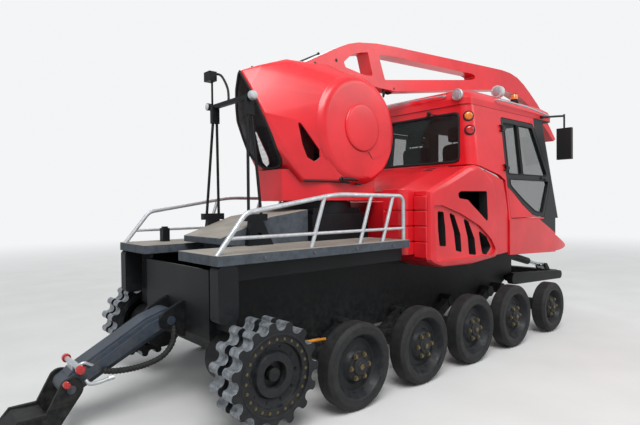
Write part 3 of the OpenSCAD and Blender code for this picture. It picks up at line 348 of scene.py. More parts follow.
def welded(mesh):
    """A bmesh of a CAD mesh, with its loose triangles joined and its flat faces made whole"""
    shape = bmesh.new()
    shape.from_mesh(mesh)
    bmesh.ops.remove_doubles(shape, verts=shape.verts, dist=0.02 * MM)
    bmesh.ops.dissolve_limit(shape, angle_limit=math.radians(0.6), verts=shape.verts, edges=shape.edges)
    return shape


def bevelled(node, width_mm, segments=2, angle=28, looks=None, choose=lambda centre, normal: 0, cuts=()):
    """A copy of a CAD node with its edges rounded, which replaces the node. choose gives the number of the
    look for a face from its centre, in mm, and its normal. Each cut parts the faces along a plane, given as
    a place and a direction"""
    mesh = NODES[node].data.copy()
    shape = welded(mesh)
    for place, way in cuts:
        everything = list(shape.verts) + list(shape.edges) + list(shape.faces)
        bmesh.ops.bisect_plane(shape, geom=everything, dist=0.01 * MM, plane_co=at(*place),
                               plane_no=Vector(way).normalized())
    shape.to_mesh(mesh)
    shape.free()
    piece = finished("shown_" + node, mesh, SLOT_LOOK[SLOT_OF[node]], BODY_OF[node], SLOT_OF[node])
    if looks:
        mesh.materials.clear()
        for look in looks:
            mesh.materials.append(look)
        for face in mesh.polygons:
            centre = Vector(face.center) / MM
            face.material_index = choose(Vector((centre.x - AXLE_X, centre.y, centre.z)), face.normal)
    if width_mm:
        bevel = piece.modifiers.new("edges", "BEVEL")
        bevel.width = width_mm * MM
        bevel.segments = segments
        bevel.limit_method = "ANGLE"
        bevel.angle_limit = math.radians(angle)
        bevel.harden_normals = True
    # Large flat faces keep their own direction, so that only the rounded edges turn the light
    weighted = piece.modifiers.new("flat_faces", "WEIGHTED_NORMAL")
    weighted.keep_sharp = True
    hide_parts(node)
    return piece


# Places are in mm from the rear sprocket axle, as in the part's source
AXLE_X = -2815
RIGHT, LEFT = -1, 1


def at(x, y, z):
    """A place in the frame, in metres"""
    return Vector(((x + AXLE_X) * MM, y * MM, z * MM))


def curved(points, step_mm=12):
    """Points of a smooth line through the given ones, about step_mm apart"""
    ends = [2 * points[0] - points[1]] + list(points) + [2 * points[-1] - points[-2]]
    line = []
    for i in range(1, len(ends) - 2):
        p0, p1, p2, p3 = ends[i - 1:i + 3]
        count = max(2, int((p2 - p1).length / (step_mm * MM)))
        for k in range(count):
            t = k / count
            line.append(0.5 * (2 * p1 + (p2 - p0) * t + (2 * p0 - 5 * p1 + 4 * p2 - p3) * t * t
                               + (3 * p1 - p0 - 3 * p2 + p3) * t ** 3))
    line.append(points[-1])
    return line


def swept(shape, line, width_at, sides=16):
    """Skins a tube along a line into a bmesh. width_at gives its radius in mm at a distance in mm"""
    rings = []
    gone = 0.0
    way = (line[1] - line[0]).normalized()
    across = way.orthogonal().normalized()
    for i, point in enumerate(line):
        if i:
            gone += (point - line[i - 1]).length
        ahead = line[min(i + 1, len(line) - 1)] - line[max(i - 1, 0)]
        way = ahead.normalized()
        across = (across - way * across.dot(way)).normalized()
        side = way.cross(across)
        r = width_at(gone / MM) * MM
        rings.append([shape.verts.new(point + r * (math.cos(a) * across + math.sin(a) * side))
                      for a in (2 * math.pi * k / sides for k in range(sides))])
    for first, second in zip(rings, rings[1:]):
        for k in range(sides):
            shape.faces.new((first[k], first[(k + 1) % sides], second[(k + 1) % sides], second[k]))
    shape.faces.new(list(reversed(rings[0])))
    shape.faces.new(rings[-1])


def turned(shape, place, way, profile, sides=32):
    """Skins a turned form into a bmesh. profile holds pairs of radius and distance along the way, in mm"""
    way = Vector(way).normalized()
    across = way.orthogonal().normalized()
    side = way.cross(across)
    rings = []
    for r, along in profile:
        middle = place + way * along * MM
        if r < 0.01:
            rings.append([shape.verts.new(middle)])
        else:
            rings.append([shape.verts.new(middle + r * MM * (math.cos(a) * across + math.sin(a) * side))
                          for a in (2 * math.pi * k / sides for k in range(sides))])
    for first, second in zip(rings, rings[1:]):
        for k in range(sides):
            ring = [first[k % len(first)], first[(k + 1) % len(first)], second[(k + 1) % len(second)],
                    second[k % len(second)]]
            corners = [v for i, v in enumerate(ring) if v not in ring[:i]]
            if len(corners) > 2:
                shape.faces.new(corners)
    for ring, backwards in ((rings[0], True), (rings[-1], False)):
        if len(ring) > 1:
            shape.faces.new(list(reversed(ring)) if backwards else ring)


def block(shape, low, high):
    """A box between two corners, in a bmesh"""
    made = bmesh.ops.create_cube(shape, size=1.0)["verts"]
    middle, size = (low + high) / 2, high - low
    for v in made:
        v.co = Vector((v.co.x * size.x, v.co.y * size.y, v.co.z * size.z)) + middle


def piece_of(name, fill, material, body, slot, smooth=40, bevel_mm=0.0):
    """A piece whose mesh the given function fills"""
    shape = bmesh.new()
    fill(shape)
    bmesh.ops.recalc_face_normals(shape, faces=shape.faces)
    mesh = bpy.data.meshes.new(name)
    shape.to_mesh(mesh)
    shape.free()
    piece = finished(name, mesh, material, body, slot, smooth)
    if bevel_mm:
        edge = piece.modifiers.new("edges", "BEVEL")
        edge.width = bevel_mm * MM
        edge.segments = 2
        edge.limit_method = "ANGLE"
        edge.angle_limit = math.radians(35)
    return piece


# Geometry Nodes trees for what repeats
def geometry_tree(name, sizes):
    """An empty tree with named inputs, each given as its socket's kind and first value"""
    tree = bpy.data.node_groups.new(name, "GeometryNodeTree")
    tree.interface.new_socket("Geometry", in_out="INPUT", socket_type="NodeSocketGeometry")
    for label, (kind, value) in sizes.items():
        socket = tree.interface.new_socket(label, in_out="INPUT", socket_type="NodeSocket" + kind)
        if value is not None:
            socket.default_value = value
    tree.interface.new_socket("Geometry", in_out="OUTPUT", socket_type="NodeSocketGeometry")
    return tree, tree.nodes.new("NodeGroupInput").outputs


def close_tree(tree, given, geometry):
    """Ends a tree: real meshes, painted with its finish"""
    real = add(tree, "GeometryNodeRealizeInstances", {"Geometry": geometry})
    painted = add(tree, "GeometryNodeSetMaterial", {"Geometry": real, "Material": given["Finish"]})
    add(tree, "NodeGroupOutput", {0: painted})
    return tree


def hex_head(tree, given):
    """Hexagon head on its washer, standing on z 0. Its corners lie at 0.577 of its width across flats"""
    head_r = add(tree, "ShaderNodeMath", {0: given["Across flats"]}, operation="MULTIPLY", in_1=0.577)
    washer_r = add(tree, "ShaderNodeMath", {0: given["Across flats"]}, operation="MULTIPLY", in_1=0.8)
    washer_h = add(tree, "ShaderNodeMath", {0: given["Head height"]}, operation="MULTIPLY", in_1=0.4)
    head = add(tree, "GeometryNodeMeshCylinder", {"Radius": head_r, "Depth": given["Head height"]},
               in_Vertices=6)
    washer = add(tree, "GeometryNodeMeshCylinder", {"Radius": washer_r, "Depth": washer_h}, in_Vertices=18)
    half = add(tree, "ShaderNodeMath", {0: given["Head height"]}, operation="MULTIPLY", in_1=0.6)
    lift = add(tree, "ShaderNodeCombineXYZ", {"Z": half})
    raised = add(tree, "GeometryNodeTransform", {"Geometry": head, "Translation": lift})
    both = add(tree, "GeometryNodeJoinGeometry", {"Geometry": washer})
    tree.links.new(raised.outputs[0], both.inputs[0])
    return both


HEAD_SIZES = {"Across flats": ("Float", 0.024), "Head height": ("Float", 0.01), "Finish": ("Material", None)}


def bolt_ring_tree():
    """Bolt heads evenly round a circle"""
    tree, given = geometry_tree("bolt_ring", {
        "Count": ("Int", 6), "Ring radius": ("Float", 0.1), "Centre": ("Vector", None),
        "Turn": ("Vector", None), **HEAD_SIZES})
    circle = add(tree, "GeometryNodeMeshCircle", {"Vertices": given["Count"], "Radius": given["Ring radius"]})
    ring = add(tree, "GeometryNodeInstanceOnPoints", {"Points": circle, "Instance": hex_head(tree, given)})
    moved = add(tree, "GeometryNodeTransform", {
        "Geometry": ring, "Translation": given["Centre"], "Rotation": given["Turn"]})
    return close_tree(tree, given, moved)


def bolt_row_tree():
    """Screw heads evenly along a line"""
    tree, given = geometry_tree("bolt_row", {
        "Count": ("Int", 3), "First": ("Vector", None), "Step": ("Vector", None), "Turn": ("Vector", None),
        **HEAD_SIZES})
    line = add(tree, "GeometryNodeMeshLine", {
        "Count": given["Count"], "Start Location": given["First"], "Offset": given["Step"]})
    row = add(tree, "GeometryNodeInstanceOnPoints", {
        "Points": line, "Instance": hex_head(tree, given), "Rotation": given["Turn"]})
    return close_tree(tree, given, row)


def piping_tree():
    """Round rubber along the edges of the mesh that it is given"""
    tree, given = geometry_tree("rubber_piping", {
        "Radius": ("Float", 0.006), "Step": ("Float", 0.02), "Finish": ("Material", None)})
    line = add(tree, "GeometryNodeMeshToCurve", {"Mesh": given["Geometry"]})
    even = add(tree, "GeometryNodeResampleCurve", {"Curve": line, "Length": given["Step"]}, mode="LENGTH")
    ring = add(tree, "GeometryNodeCurvePrimitiveCircle", {"Radius": given["Radius"]}, in_Resolution=10)
    skin = add(tree, "GeometryNodeCurveToMesh", {"Curve": even, "Profile Curve": ring}, in_Fill_Caps=True)
    smooth = add(tree, "GeometryNodeSetShadeSmooth", {"Geometry": skin})
    return close_tree(tree, given, smooth)


def wire_net_tree():
    """Crossed round wires over a flat field that is then set in its place"""
    tree, given = geometry_tree("wire_net", {
        "Width": ("Float", 0.2), "Height": ("Float", 0.2), "Spacing": ("Float", 0.012),
        "Wire": ("Float", 0.0012), "Centre": ("Vector", None), "Turn": ("Vector", None),
        "Finish": ("Material", None)})
    both = add(tree, "GeometryNodeJoinGeometry")
    for length, span, axis, turn in (("Height", "Width", "X", (math.pi / 2, 0, 0)),
                                     ("Width", "Height", "Y", (0, math.pi / 2, 0))):
        count = add(tree, "ShaderNodeMath", {0: given[span], 1: given["Spacing"]}, operation="DIVIDE")
        half = add(tree, "ShaderNodeMath", {0: given[span]}, operation="MULTIPLY", in_1=-0.5)
        start = add(tree, "ShaderNodeCombineXYZ", {axis: half})
        step = add(tree, "ShaderNodeCombineXYZ", {axis: given["Spacing"]})
        line = add(tree, "GeometryNodeMeshLine", {"Count": count, "Start Location": start, "Offset": step})
        wire = add(tree, "GeometryNodeMeshCylinder", {"Radius": given["Wire"], "Depth": given[length]},
                   in_Vertices=6)
        rods = add(tree, "GeometryNodeInstanceOnPoints", {"Points": line, "Instance": wire}, in_Rotation=turn)
        tree.links.new(rods.outputs[0], both.inputs[0])
    moved = add(tree, "GeometryNodeTransform", {
        "Geometry": both, "Translation": given["Centre"], "Rotation": given["Turn"]})
    return close_tree(tree, given, moved)


BOLT_RING = bolt_ring_tree()
BOLT_ROW = bolt_row_tree()
PIPING = piping_tree()
WIRE_NET = wire_net_tree()


def grown(name, tree, sizes, body, slot, source=None, smooth=35):
    """Runs a tree on a source mesh and keeps the result as a plain piece"""
    base = bpy.data.objects.new(name + "_source", source or bpy.data.meshes.new(name + "_source"))
    bpy.context.scene.collection.objects.link(base)
    modifier = base.modifiers.new("nodes", "NODES")
    modifier.node_group = tree
    for item in tree.interface.items_tree:
        if item.in_out == "INPUT" and item.name in sizes:
            modifier[item.identifier] = sizes[item.name]
    depsgraph = bpy.context.evaluated_depsgraph_get()
    mesh = bpy.data.meshes.new_from_object(base.evaluated_get(depsgraph))
    mesh.name = name
    base.modifiers.remove(modifier)
    bpy.data.objects.remove(base)
    return finished(name, mesh, None, body, slot, smooth)


def outward(side):
    """Turn that makes z point out of a side of the machine"""
    return (math.pi / 2, 0.0, 0.0) if side == RIGHT else (-math.pi / 2, 0.0, 0.0)


def side_name(side):
    """The word for a side in the names of nodes and pieces"""
    return "right" if side == RIGHT else "left"


# Finish of the CAD nodes that show as they are
for node, item in NODES.items():
    item.data.materials.clear()
    item.data.materials.append(SLOT_LOOK[SLOT_OF[node]])

# Nodes of one finish, with the width in mm of their rounded edges
ROUNDED = {
    "boom": 6, "winch_base": 6, "winch_pedestal": 6, "side_box_right": 6, "side_box_left": 6, "rear_arm": 4,
    "rear_hook": 5, "blade_frame": 6, "door_panel_right": 3, "door_panel_left": 3, "rear_panels": 3,
    "console": 6}
for node, width in ROUNDED.items():
    bevelled(node, width)


def inside(core, low, high):
    """1 on faces that look at the core from within a box"""
    core, low, high = Vector(core), Vector(low), Vector(high)

    def choose(centre, normal):
        within = all(low[k] <= centre[k] <= high[k] for k in range(3))
        return 1 if within and normal.dot(centre - core) < 0 else 0
    return choose


def inside_pod(side):
    """1 on the hollow of a pod and on the walls of its slots, which take the painted shade"""
    hollow = inside((2700, side * 800, 1450), (1970, -1027, 1000), (3592, 1027, 1970))

    def choose(centre, normal):
        deep = side * centre.y
        slot = 900 < deep < 1020 and abs(normal.y) < 0.3 and 2100 < centre.x < 3150 and 1035 < centre.z < 1760
        return 1 if slot or (600 < deep < 985 and hollow(centre, normal)) else 0
    return choose


# The hollow of each pod and the walls of its slots are painted shade, near black
for side in (RIGHT, LEFT):
    bevelled("pod_" + side_name(side), 8, looks=[RED, SHADE], choose=inside_pod(side))
bevelled("load_deck", 3, looks=[DECK])
bevelled("cutout_cover", 4, looks=[DECK])
for node, width in (("door_right", 3), ("door_left", 3), ("mirrors", 16)):
    bevelled(node, width, 3, looks=[PLASTIC])
# The hollow of the engine cover is painted shade, near black
bevelled("engine_cover", 8, looks=[RED, SHADE],
         choose=inside((2450, 0, 1400), (2035, -582, 1090), (2926, 582, 2020)))
CAB_REAR, CAB_TOP, CAB_HALF, SILL_Z, LEAN = 2960, 2740, 1000, 1400, math.radians(6)
COWL_CUT = ((4420, 0, 1390), (0.388, 0, 0.922))
PILLAR_CUT = ((4530, 0, 2000), (1, 0, 0))
in_cab = inside((3900, 0, 2050), (2990, -985, 1390), (5300, 985, 2800))


def cab_look(centre, normal):
    """Red shell, 1 for its lining and painted shade inside, 2 for the black pillars ahead of the doors and
    for the hinges
    """
    proud = (abs(centre.y) - CAB_HALF + (centre.z - SILL_Z) * math.tan(LEAN)) * math.cos(LEAN)
    if proud > 3 and 3580 < centre.x < 3680:
        return 2
    if in_cab(centre, normal):
        return 1
    return 2 if centre.x > PILLAR_CUT[0][0] else 0


def nose_look(centre, normal):
    """Red nose, 1 for the black cowl beyond its cut"""
    place, way = (Vector(part) for part in COWL_CUT)
    return 1 if (centre - place).dot(way) > 0 and centre.x > 4300 else 0


bevelled("cab_shell", 4, looks=[RED, LINING_AND_SHADE, PLASTIC], choose=cab_look, cuts=[PILLAR_CUT])
bevelled("nose_body", 10, looks=[RED, PLASTIC], choose=nose_look, cuts=[COWL_CUT])
# Downward faces of the roof take the dark lining, which is also painted shade under the roof
bevelled("cab_roof", 0, looks=[RED, LINING_AND_SHADE], choose=lambda centre, normal: 1 if normal.z < -0.9 else 0)

# Black wire net inside the slots of each pod
for side in (RIGHT, LEFT):
    grown("pod_net_" + side_name(side), WIRE_NET, {
        "Width": 1040 * MM, "Height": 470 * MM, "Spacing": 14 * MM, "Wire": 1.6 * MM,
        "Centre": at(2635, side * 944, 1305), "Turn": outward(side), "Finish": PLASTIC},
        "chassis", "black_paint")

# Ribs that close the rear of each pod, in line with those of the box behind it
for side in (RIGHT, LEFT):
    def pod_ribs(shape):
        """Four ribs, each given by its lower and upper height"""
        for low, high in ((1078, 1236), (1240, 1391), (1395, 1546), (1550, 1690)):
            near, far = sorted((side * 862, side * 1016))
            block(shape, at(1962, near, low), at(1984.6, far, high))
    piece_of("pod_ribs_" + side_name(side), pod_ribs, RED, "chassis", "red_paint", bevel_mm=9)

    def nose_horn(shape):
        """Pointed guard that runs forward from the nose, thinner and closer in towards its tip"""
        rings = []
        for x, low, high, near, far in ((4860, 950, 1196, 860, 999), (4960, 950, 1158, 866, 997),
                                        (5060, 952, 1118, 874, 992), (5160, 958, 1078, 884, 984),
                                        (5240, 970, 1046, 896, 974), (5290, 984, 1026, 908, 962)):
            rings.append([shape.verts.new(at(x, side * y, z)) for y, z in (
                (near, low + 10), (near + 12, low), (far - 18, low), (far, low + 12), (far, high - 16),
                (far - 18, high), (near + 12, high), (near, high - 10))])
        for first, second in zip(rings, rings[1:]):
            for k in range(8):
                shape.faces.new((first[k], first[(k + 1) % 8], second[(k + 1) % 8], second[k]))
        shape.faces.new(rings[0])
        shape.faces.new(rings[-1])
    piece_of("nose_horn_" + side_name(side), nose_horn, RED, "chassis", "red_paint", 30, bevel_mm=4)

# Running gear: rubber tyre on a pressed disc, yellow bolts round a hub cap
WHEEL_OUT = 1250
FIRST_WHEEL, WHEEL_PITCH, IDLER_X = 815, 833, 4265
WHEEL_R, IDLER_R, IDLER_Z, SPROCKET_Z = 343, 300, 312, 466
TYRE_DEPTH, TOOTH_FOOT_R = 78, 290
HUB_FACE = WHEEL_OUT - 28
# What sits on a face stands this far off it, so that the two never share a plane
HAIR = 0.3


def wheel_look(x, z, rim):
    """0 on the tyre of the wheel at x and z, and 1 on its disc"""
    return lambda centre, normal: 0 if math.hypot(centre.x - x, centre.z - z) > rim else 1


def sprocket_look(centre, normal):
    """0 on the cast teeth and 1 on the flanks and the hub"""
    outer = math.hypot(centre.x, centre.z - SPROCKET_Z) > TOOTH_FOOT_R
    return 0 if outer and abs(normal.y) < 0.5 else 1


for side in (RIGHT, LEFT):
    word = side_name(side)
    rows = [("road_wheel_%s%d" % (word[0], i + 1), "%s_wheel_%d" % (word, i + 1),
             FIRST_WHEEL + i * WHEEL_PITCH, WHEEL_R, WHEEL_R) for i in range(4)]
    rows.append(("idler_" + word, word + "_idler", IDLER_X, IDLER_Z, IDLER_R))
    for node, body, x, z, r in rows:
        bevelled(node, 7, 3, 25, [RUBBER, DISC], wheel_look(x, z, r - TYRE_DEPTH))
        grown(node + "_bolts", BOLT_RING, {
            "Count": 6, "Ring radius": 97 * MM, "Centre": at(x, side * HUB_FACE, z), "Turn": outward(side),
            "Across flats": 27 * MM, "Head height": 15 * MM, "Finish": YELLOW_ZINC}, body, "cast_teeth")
        cap_at = at(x, side * (HUB_FACE + HAIR), z)
        piece_of(node + "_hub_cap", lambda shape: turned(shape, cap_at, (0, side, 0), [
            (72, 0), (72, 6), (64, 14), (40, 18), (34, 24), (0, 24)]), DISC, body, "wheel_rubber", 30)
        nut_at = at(x, side * (HUB_FACE + 24 + 2 * HAIR), z)
        piece_of(node + "_hub_nut", lambda shape: turned(shape, nut_at, (0, side, 0), [
            (24, 0), (24, 3), (18, 3.3), (0, 3.3)], 6), YELLOW_ZINC, body, "cast_teeth", 20)
    node, body = "sprocket_" + word, word + "_sprocket"
    bevelled(node, 9, 3, 30, [CAST, DISC], sprocket_look)
    # Rows of bolts: name, count, ring radius, how far in, width across flats, head height, finish and slot
    for name, count, ring, inwards, flats, head, look, slot in (
            ("_bolts", 24, 247, 12, 15, 7, YELLOW_ZINC, "cast_teeth"),
            ("_hub_bolts", 10, 190, 50, 17, 8, DISC, "wheel_rubber")):
        grown(node + name, BOLT_RING, {
            "Count": count, "Ring radius": ring * MM, "Turn": outward(side),
            "Centre": at(0, side * (WHEEL_OUT - inwards), SPROCKET_Z),
            "Across flats": flats * MM, "Head height": head * MM, "Finish": look}, body, slot)

# Winch hood: grey moulding inside, rubber round its mouth and lower edge
HOOD_HALF = 480
BULGE = (1620, 2360)
HOOD_LOW = 1822
MOUTH_TOP = (495, 2880)
MOUTH_LEAN = math.radians(23.6)
HOOD_MIDDLE = Vector((1250, 0, 2420))


def inside_hood(centre, normal):
    """1 on faces that look at the hollow of the hood"""
    return 1 if normal.dot(centre - HOOD_MIDDLE) < -20 else 0


bevelled("winch_hood", 5, 2, 40, [RED, GREY_SHELL], inside_hood)


def hood_edges():
    """Edges between the outer skin and the mouth, or the cut lower edge"""
    shape = welded(NODES["winch_hood"].data)
    along = Vector((math.cos(MOUTH_LEAN), 0, math.sin(MOUTH_LEAN)))
    pairs = []
    for edge in shape.edges:
        if len(edge.link_faces) != 2:
            continue
        for skin, cut in (edge.link_faces, reversed(edge.link_faces)):
            middle = (edge.verts[0].co + edge.verts[1].co) / 2 / MM
            middle.x -= AXLE_X
            if inside_hood(middle, skin.normal) or skin.normal.angle(cut.normal) < math.radians(35):
                continue
            low_edge = cut.normal.z < -0.95 and abs(middle.z - HOOD_LOW) < 3
            deep = (middle.x - MOUTH_TOP[0]) * along.x + (middle.z - MOUTH_TOP[1]) * along.z
            rim = abs(cut.normal.dot(along)) < 0.1 and cut.normal.z > -0.95 and deep < 160
            if low_edge or (rim and abs(middle.y) < 300):
                pairs.append((edge.verts[0].co.copy(), edge.verts[1].co.copy()))
                break
    shape.free()
    mesh = bpy.data.meshes.new("hood_edges")
    mesh.from_pydata([v for pair in pairs for v in pair], [(2 * i, 2 * i + 1) for i in range(len(pairs))], [])
    joined = bmesh.new()
    joined.from_mesh(mesh)
    bmesh.ops.remove_doubles(joined, verts=joined.verts, dist=0.0001)
    joined.to_mesh(mesh)
    joined.free()
    return mesh


HOOD_LOWER_EDGE = [(905, 199, 1990), (1010, 331, 1842), (1330, 436, 1837), (1480, 452, 1830)]
for side in (RIGHT, LEFT):
    piece_of("hood_disc_" + side_name(side), lambda shape: turned(
        shape, at(BULGE[0] + 20, side * (HOOD_HALF + HAIR), BULGE[1] + 20), (0, side, 0), [
            (238, 0), (237, 8), (232, 14), (224, 17), (205, 18), (0, 18)], 96), RED, "winch", "red_paint", 30)
for side in (RIGHT, LEFT):
    piece_of("hood_lower_rubber_" + side_name(side), lambda shape: swept(
        shape, [at(x, side * y, z) for x, y, z in HOOD_LOWER_EDGE], lambda d: 9, 12),
        SEAL, "winch", "black_paint")
grown("hood_rubber", PIPING, {"Radius": 13 * MM, "Step": 25 * MM, "Finish": SEAL}, "winch", "black_paint",
      hood_edges())
for side in (RIGHT, LEFT):
    grown("hood_vent_net_" + side_name(side), WIRE_NET, {
        "Width": 260 * MM, "Height": 430 * MM, "Spacing": 13 * MM, "Wire": 1.6 * MM,
        "Centre": at(1025, side * 300, 2210), "Turn": outward(side), "Finish": PLASTIC},
        "winch", "black_paint")

    def latch(shape):
        """Rubber strap latch: button, strap and keeper"""
        y = side * 446
        turned(shape, at(1372, y, 1860), (0, side, 0), [(26, 0), (26, 10), (20, 16), (0, 16)])
        swept(shape, curved([at(1372, y + side * 14, 1860), at(1440, y + side * 20, 1862),
                             at(1520, y + side * 20, 1862), at(1590, y + side * 12, 1858)]),
              lambda d: 15 if d < 150 else 12)
        turned(shape, at(1575, y, 1859), (0, side, 0), [(15, 0), (15, 12), (0, 12)])
    piece_of("hood_latch_" + side_name(side), latch, PLASTIC, "winch", "black_paint")


def boom_plugs(shape):
    """Round plugs in both sides of the boom"""
    for x, z, r in ((1360, 3060, 17), (1660, 3150, 17), (1250, 3020, 12)):
        for side in (RIGHT, LEFT):
            turned(shape, at(x, side * 90, z), (0, side, 0), [(r, 0), (r, 3), (r * 0.8, 6), (0, 6)], 24)


piece_of("boom_plugs", boom_plugs, PLASTIC, "winch", "black_paint")


def boom_couplings(shape):
    """Hydraulic couplings that hang below the boom ahead of the hood, two of them joined by a hose"""
    for x, y in ((2440, -60), (2490, -25), (2540, 20)):
        turned(shape, at(x, y, 2957), (0, 0, -1), [(16, 0), (16, 30), (11, 32), (11, 48), (0, 48)], 20)
    swept(shape, curved([at(2440, -60, 2915), at(2446, -50, 2890), at(2465, -40, 2880), at(2484, -30, 2892),
                         at(2490, -25, 2915)]), lambda d: 9, 12)


piece_of("boom_couplings", boom_couplings, PLASTIC, "winch", "black_paint")
piece_of("hood_stay", lambda shape: (
    swept(shape, [at(1130, -100, 3028), at(1400, -100, 3166)], lambda d: 9 if d < 170 else 6, 12),
    turned(shape, at(1400, -104, 3166), (0, 1, 0), [(14, 0), (14, 14), (0, 14)], 16),
    turned(shape, at(1130, -104, 3028), (0, 1, 0), [(14, 0), (14, 14), (0, 14)], 16)),
    PLASTIC, "winch", "black_paint")

# Winch base: a row of screws on each of its side sheets
for side in (RIGHT, LEFT):
    grown("winch_base_screws_" + side_name(side), BOLT_ROW, {
        "Count": 5, "First": at(1290, side * 400, 1690), "Step": Vector((140 * MM, 0, 0)),
        "Turn": outward(side), "Across flats": 13 * MM, "Head height": 5 * MM, "Finish": BOLT},
        "winch", "cast_teeth")

# Portal on the deck behind the winch: bare steel knob at its right end, a small lamp and a conduit
bevelled("lamp_portal", 3, 2, 35, [BLACK, TUBE],
         lambda centre, normal: 1 if centre.y < -341 and centre.z > 2480 else 0)
piece_of("portal_small_lamp", lambda shape: (
    swept(shape, [at(420, 338, 2560), at(420, 392, 2572)], lambda d: 9, 12),
    turned(shape, at(452, 400, 2575), (-1, 0, 0), [(20, 0), (34, 18), (36, 60), (0, 60)], 28)),
    PLASTIC, "chassis", "black_paint")
piece_of("portal_small_lens", lambda shape: turned(
    shape, at(391.5, 400, 2575), (-1, 0, 0), [(32, 0), (31, 3), (22, 7), (0, 9)], 28),
    LAMP_WHITE, "chassis", "lamp")


# Corrugated conduit from the lamp box down to the portal's beam, with a rib every 14 mm
CONDUIT = curved([at(446, 350, 2880), at(462, 320, 2885), at(470, 260, 2860), at(462, 180, 2790),
                  at(446, 100, 2700), at(430, 60, 2620), at(420, 45, 2583)], 6)
conduit = piece_of("portal_conduit", lambda shape: swept(
    shape, CONDUIT, lambda d: 11 + 1.2 * math.sin(2 * math.pi * d / 14), 14),
    RUBBER, "chassis", "black_paint")


def loop_mesh(name, points):
    """A closed line of edges through the points"""
    mesh = bpy.data.meshes.new(name)
    mesh.from_pydata(points, [(i, (i + 1) % len(points)) for i in range(len(points))], [])
    return mesh


def rounded_loop(corners, r, steps=5):
    """Corners in a plane, as pairs, with round turns"""
    line = []
    for i, corner in enumerate(corners):
        before, after = Vector(corners[i - 1]), Vector(corners[(i + 1) % len(corners)])
        corner = Vector(corner)
        start = corner + (before - corner).normalized() * r
        end = corner + (after - corner).normalized() * r
        for k in range(steps + 1):
            t = k / steps
            line.append((1 - t) ** 2 * start + 2 * t * (1 - t) * corner + t * t * end)
    return line


def on_lean(side, x, up, out):
    """A place on the leaning side of the cab: up the side, and out of its face"""
    return at(x, side * (CAB_HALF - up * math.sin(LEAN) + out * math.cos(LEAN)),
              SILL_Z + up * math.cos(LEAN) + out * math.sin(LEAN))


# Cab: rubber round the windows, door handles, lamps and rails
REAR_PANE = [(-739, 2092), (739, 2092), (739, 2648), (-739, 2648)]
grown("rear_window_rubber", PIPING, {"Radius": 16 * MM, "Step": 20 * MM, "Finish": SEAL},
      "chassis", "black_paint",
      loop_mesh("rear_loop", [at(CAB_REAR + 2, q.x, q.y) for q in rounded_loop(REAR_PANE, 70)]))
SIDE_H = (CAB_TOP - SILL_Z) / math.cos(LEAN)
DOOR_REAR = 3660
# The panes of a door, as pairs of x and height up the leaning side: rear one, front one and the lower one
PANES = [[(DOOR_REAR + 55, 570), (DOOR_REAR + 55, SIDE_H - 145), (4040, SIDE_H - 145), (4040, 570)],
         [(4075, 570), (4075, SIDE_H - 145), (4450, SIDE_H - 145), (4735, 610), (4735, 570)],
         [(DOOR_REAR + 70, 505), (4755, 505), (4765, 470), (4500, 75), (4300, 105), (4010, 255),
          (DOOR_REAR + 70, 430)]]
for side in (RIGHT, LEFT):
    word = side_name(side)
    for i, pane in enumerate(PANES):
        grown("door_rubber_%s_%d" % (word, i + 1), PIPING, {
            "Radius": 7 * MM, "Step": 20 * MM, "Finish": SEAL}, word + "_door", "black_paint",
            loop_mesh("pane_loop", [on_lean(side, q.x, q.y, 2) for q in rounded_loop(pane, 22, 3)]))
    piece_of("door_handle_" + word, lambda shape: (
        turned(shape, on_lean(side, 4690, 535, 0), (0, side, 0), [(18, 0), (18, 14), (0, 14)], 20),
        turned(shape, on_lean(side, 4560, 535, 0), (0, side, 0), [(14, 0), (14, 14), (0, 14)], 20),
        swept(shape, curved([on_lean(side, x, up, out) for x, up, out in (
            (4700, 535, 16), (4640, 536, 22), (4590, 536, 22), (4550, 535, 16))]), lambda d: 9, 12)),
        PLASTIC, word + "_door", "black_paint")
    outwards = Vector((-0.707, side * 0.707, 0))
    for name, z, look in (("amber", 2600, LAMP_AMBER), ("red", 2440, LAMP_RED)):
        half = CAB_HALF - (z - SILL_Z) * math.tan(LEAN)
        seat = at(CAB_REAR + 110, side * (half - 110), z) + outwards * 100 * MM
        piece_of("%s_lamp_base_%s" % (name, word), lambda shape: turned(shape, seat, outwards, [
            (60, -14), (60, 16), (56, 22), (48, 22), (48, 14), (0, 14)], 36), SEAL, "chassis", "black_paint")
        piece_of("%s_lamp_lens_%s" % (name, word), lambda shape: turned(shape, seat, outwards, [
            (47, 14.5), (47, 24), (44, 30), (34, 35), (20, 38), (0, 39)], 36), look, "chassis", "lamp")
    # Round work lamps: a whole one at the rear corner of the roof, and glass for the CAD lamp on top of it
    corner_at, roof_at = at(CAB_REAR - 12, side * 745, 2848), at(3800, side * 740, 3010.6)
    piece_of("corner_lamp_" + word, lambda shape: turned(shape, corner_at, (-1, 0, 0), [
        (40, -20), (58, 6), (66, 12), (66, 34), (60, 38), (60, 30), (0, 30)], 36),
        TUBE, "chassis", "silver_tube")
    for i, (lamp_at, depth) in enumerate(((corner_at, 30.5), (roof_at, 0.5))):
        face = lamp_at - Vector((depth * MM, 0, 0))
        piece_of("lamp_glass_%s_%d" % (word, i + 1), lambda shape: turned(shape, face, (-1, 0, 0), [
            (58, 0), (57, 4), (44, 9), (24, 12), (0, 13)], 36), LAMP_LENS, "chassis", "lamp")
    piece_of("door_rail_" + word, lambda shape: (
        swept(shape, curved([at(x, side * y, z) for x, y, z in (
            (3560, 880, 2848), (3640, 900, 2850), (4300, 912, 2840), (4900, 905, 2800), (4960, 880, 2790))]),
              lambda d: 11, 12),
        swept(shape, [at(3560, side * 850, 2846), at(3560, side * 882, 2848)], lambda d: 11, 12),
        swept(shape, [at(4960, side * 850, 2790), at(4960, side * 882, 2790)], lambda d: 11, 12)),
        TUBE, "chassis", "silver_tube")
    piece_of("nose_lamp_" + word, lambda shape: turned(
        shape, at(5066, side * 700, 1085), (0.8, side * 0.4, 0.3), [(20, -16), (20, 6), (14, 12), (0, 14)],
        24), LAMP_AMBER, "chassis", "lamp")

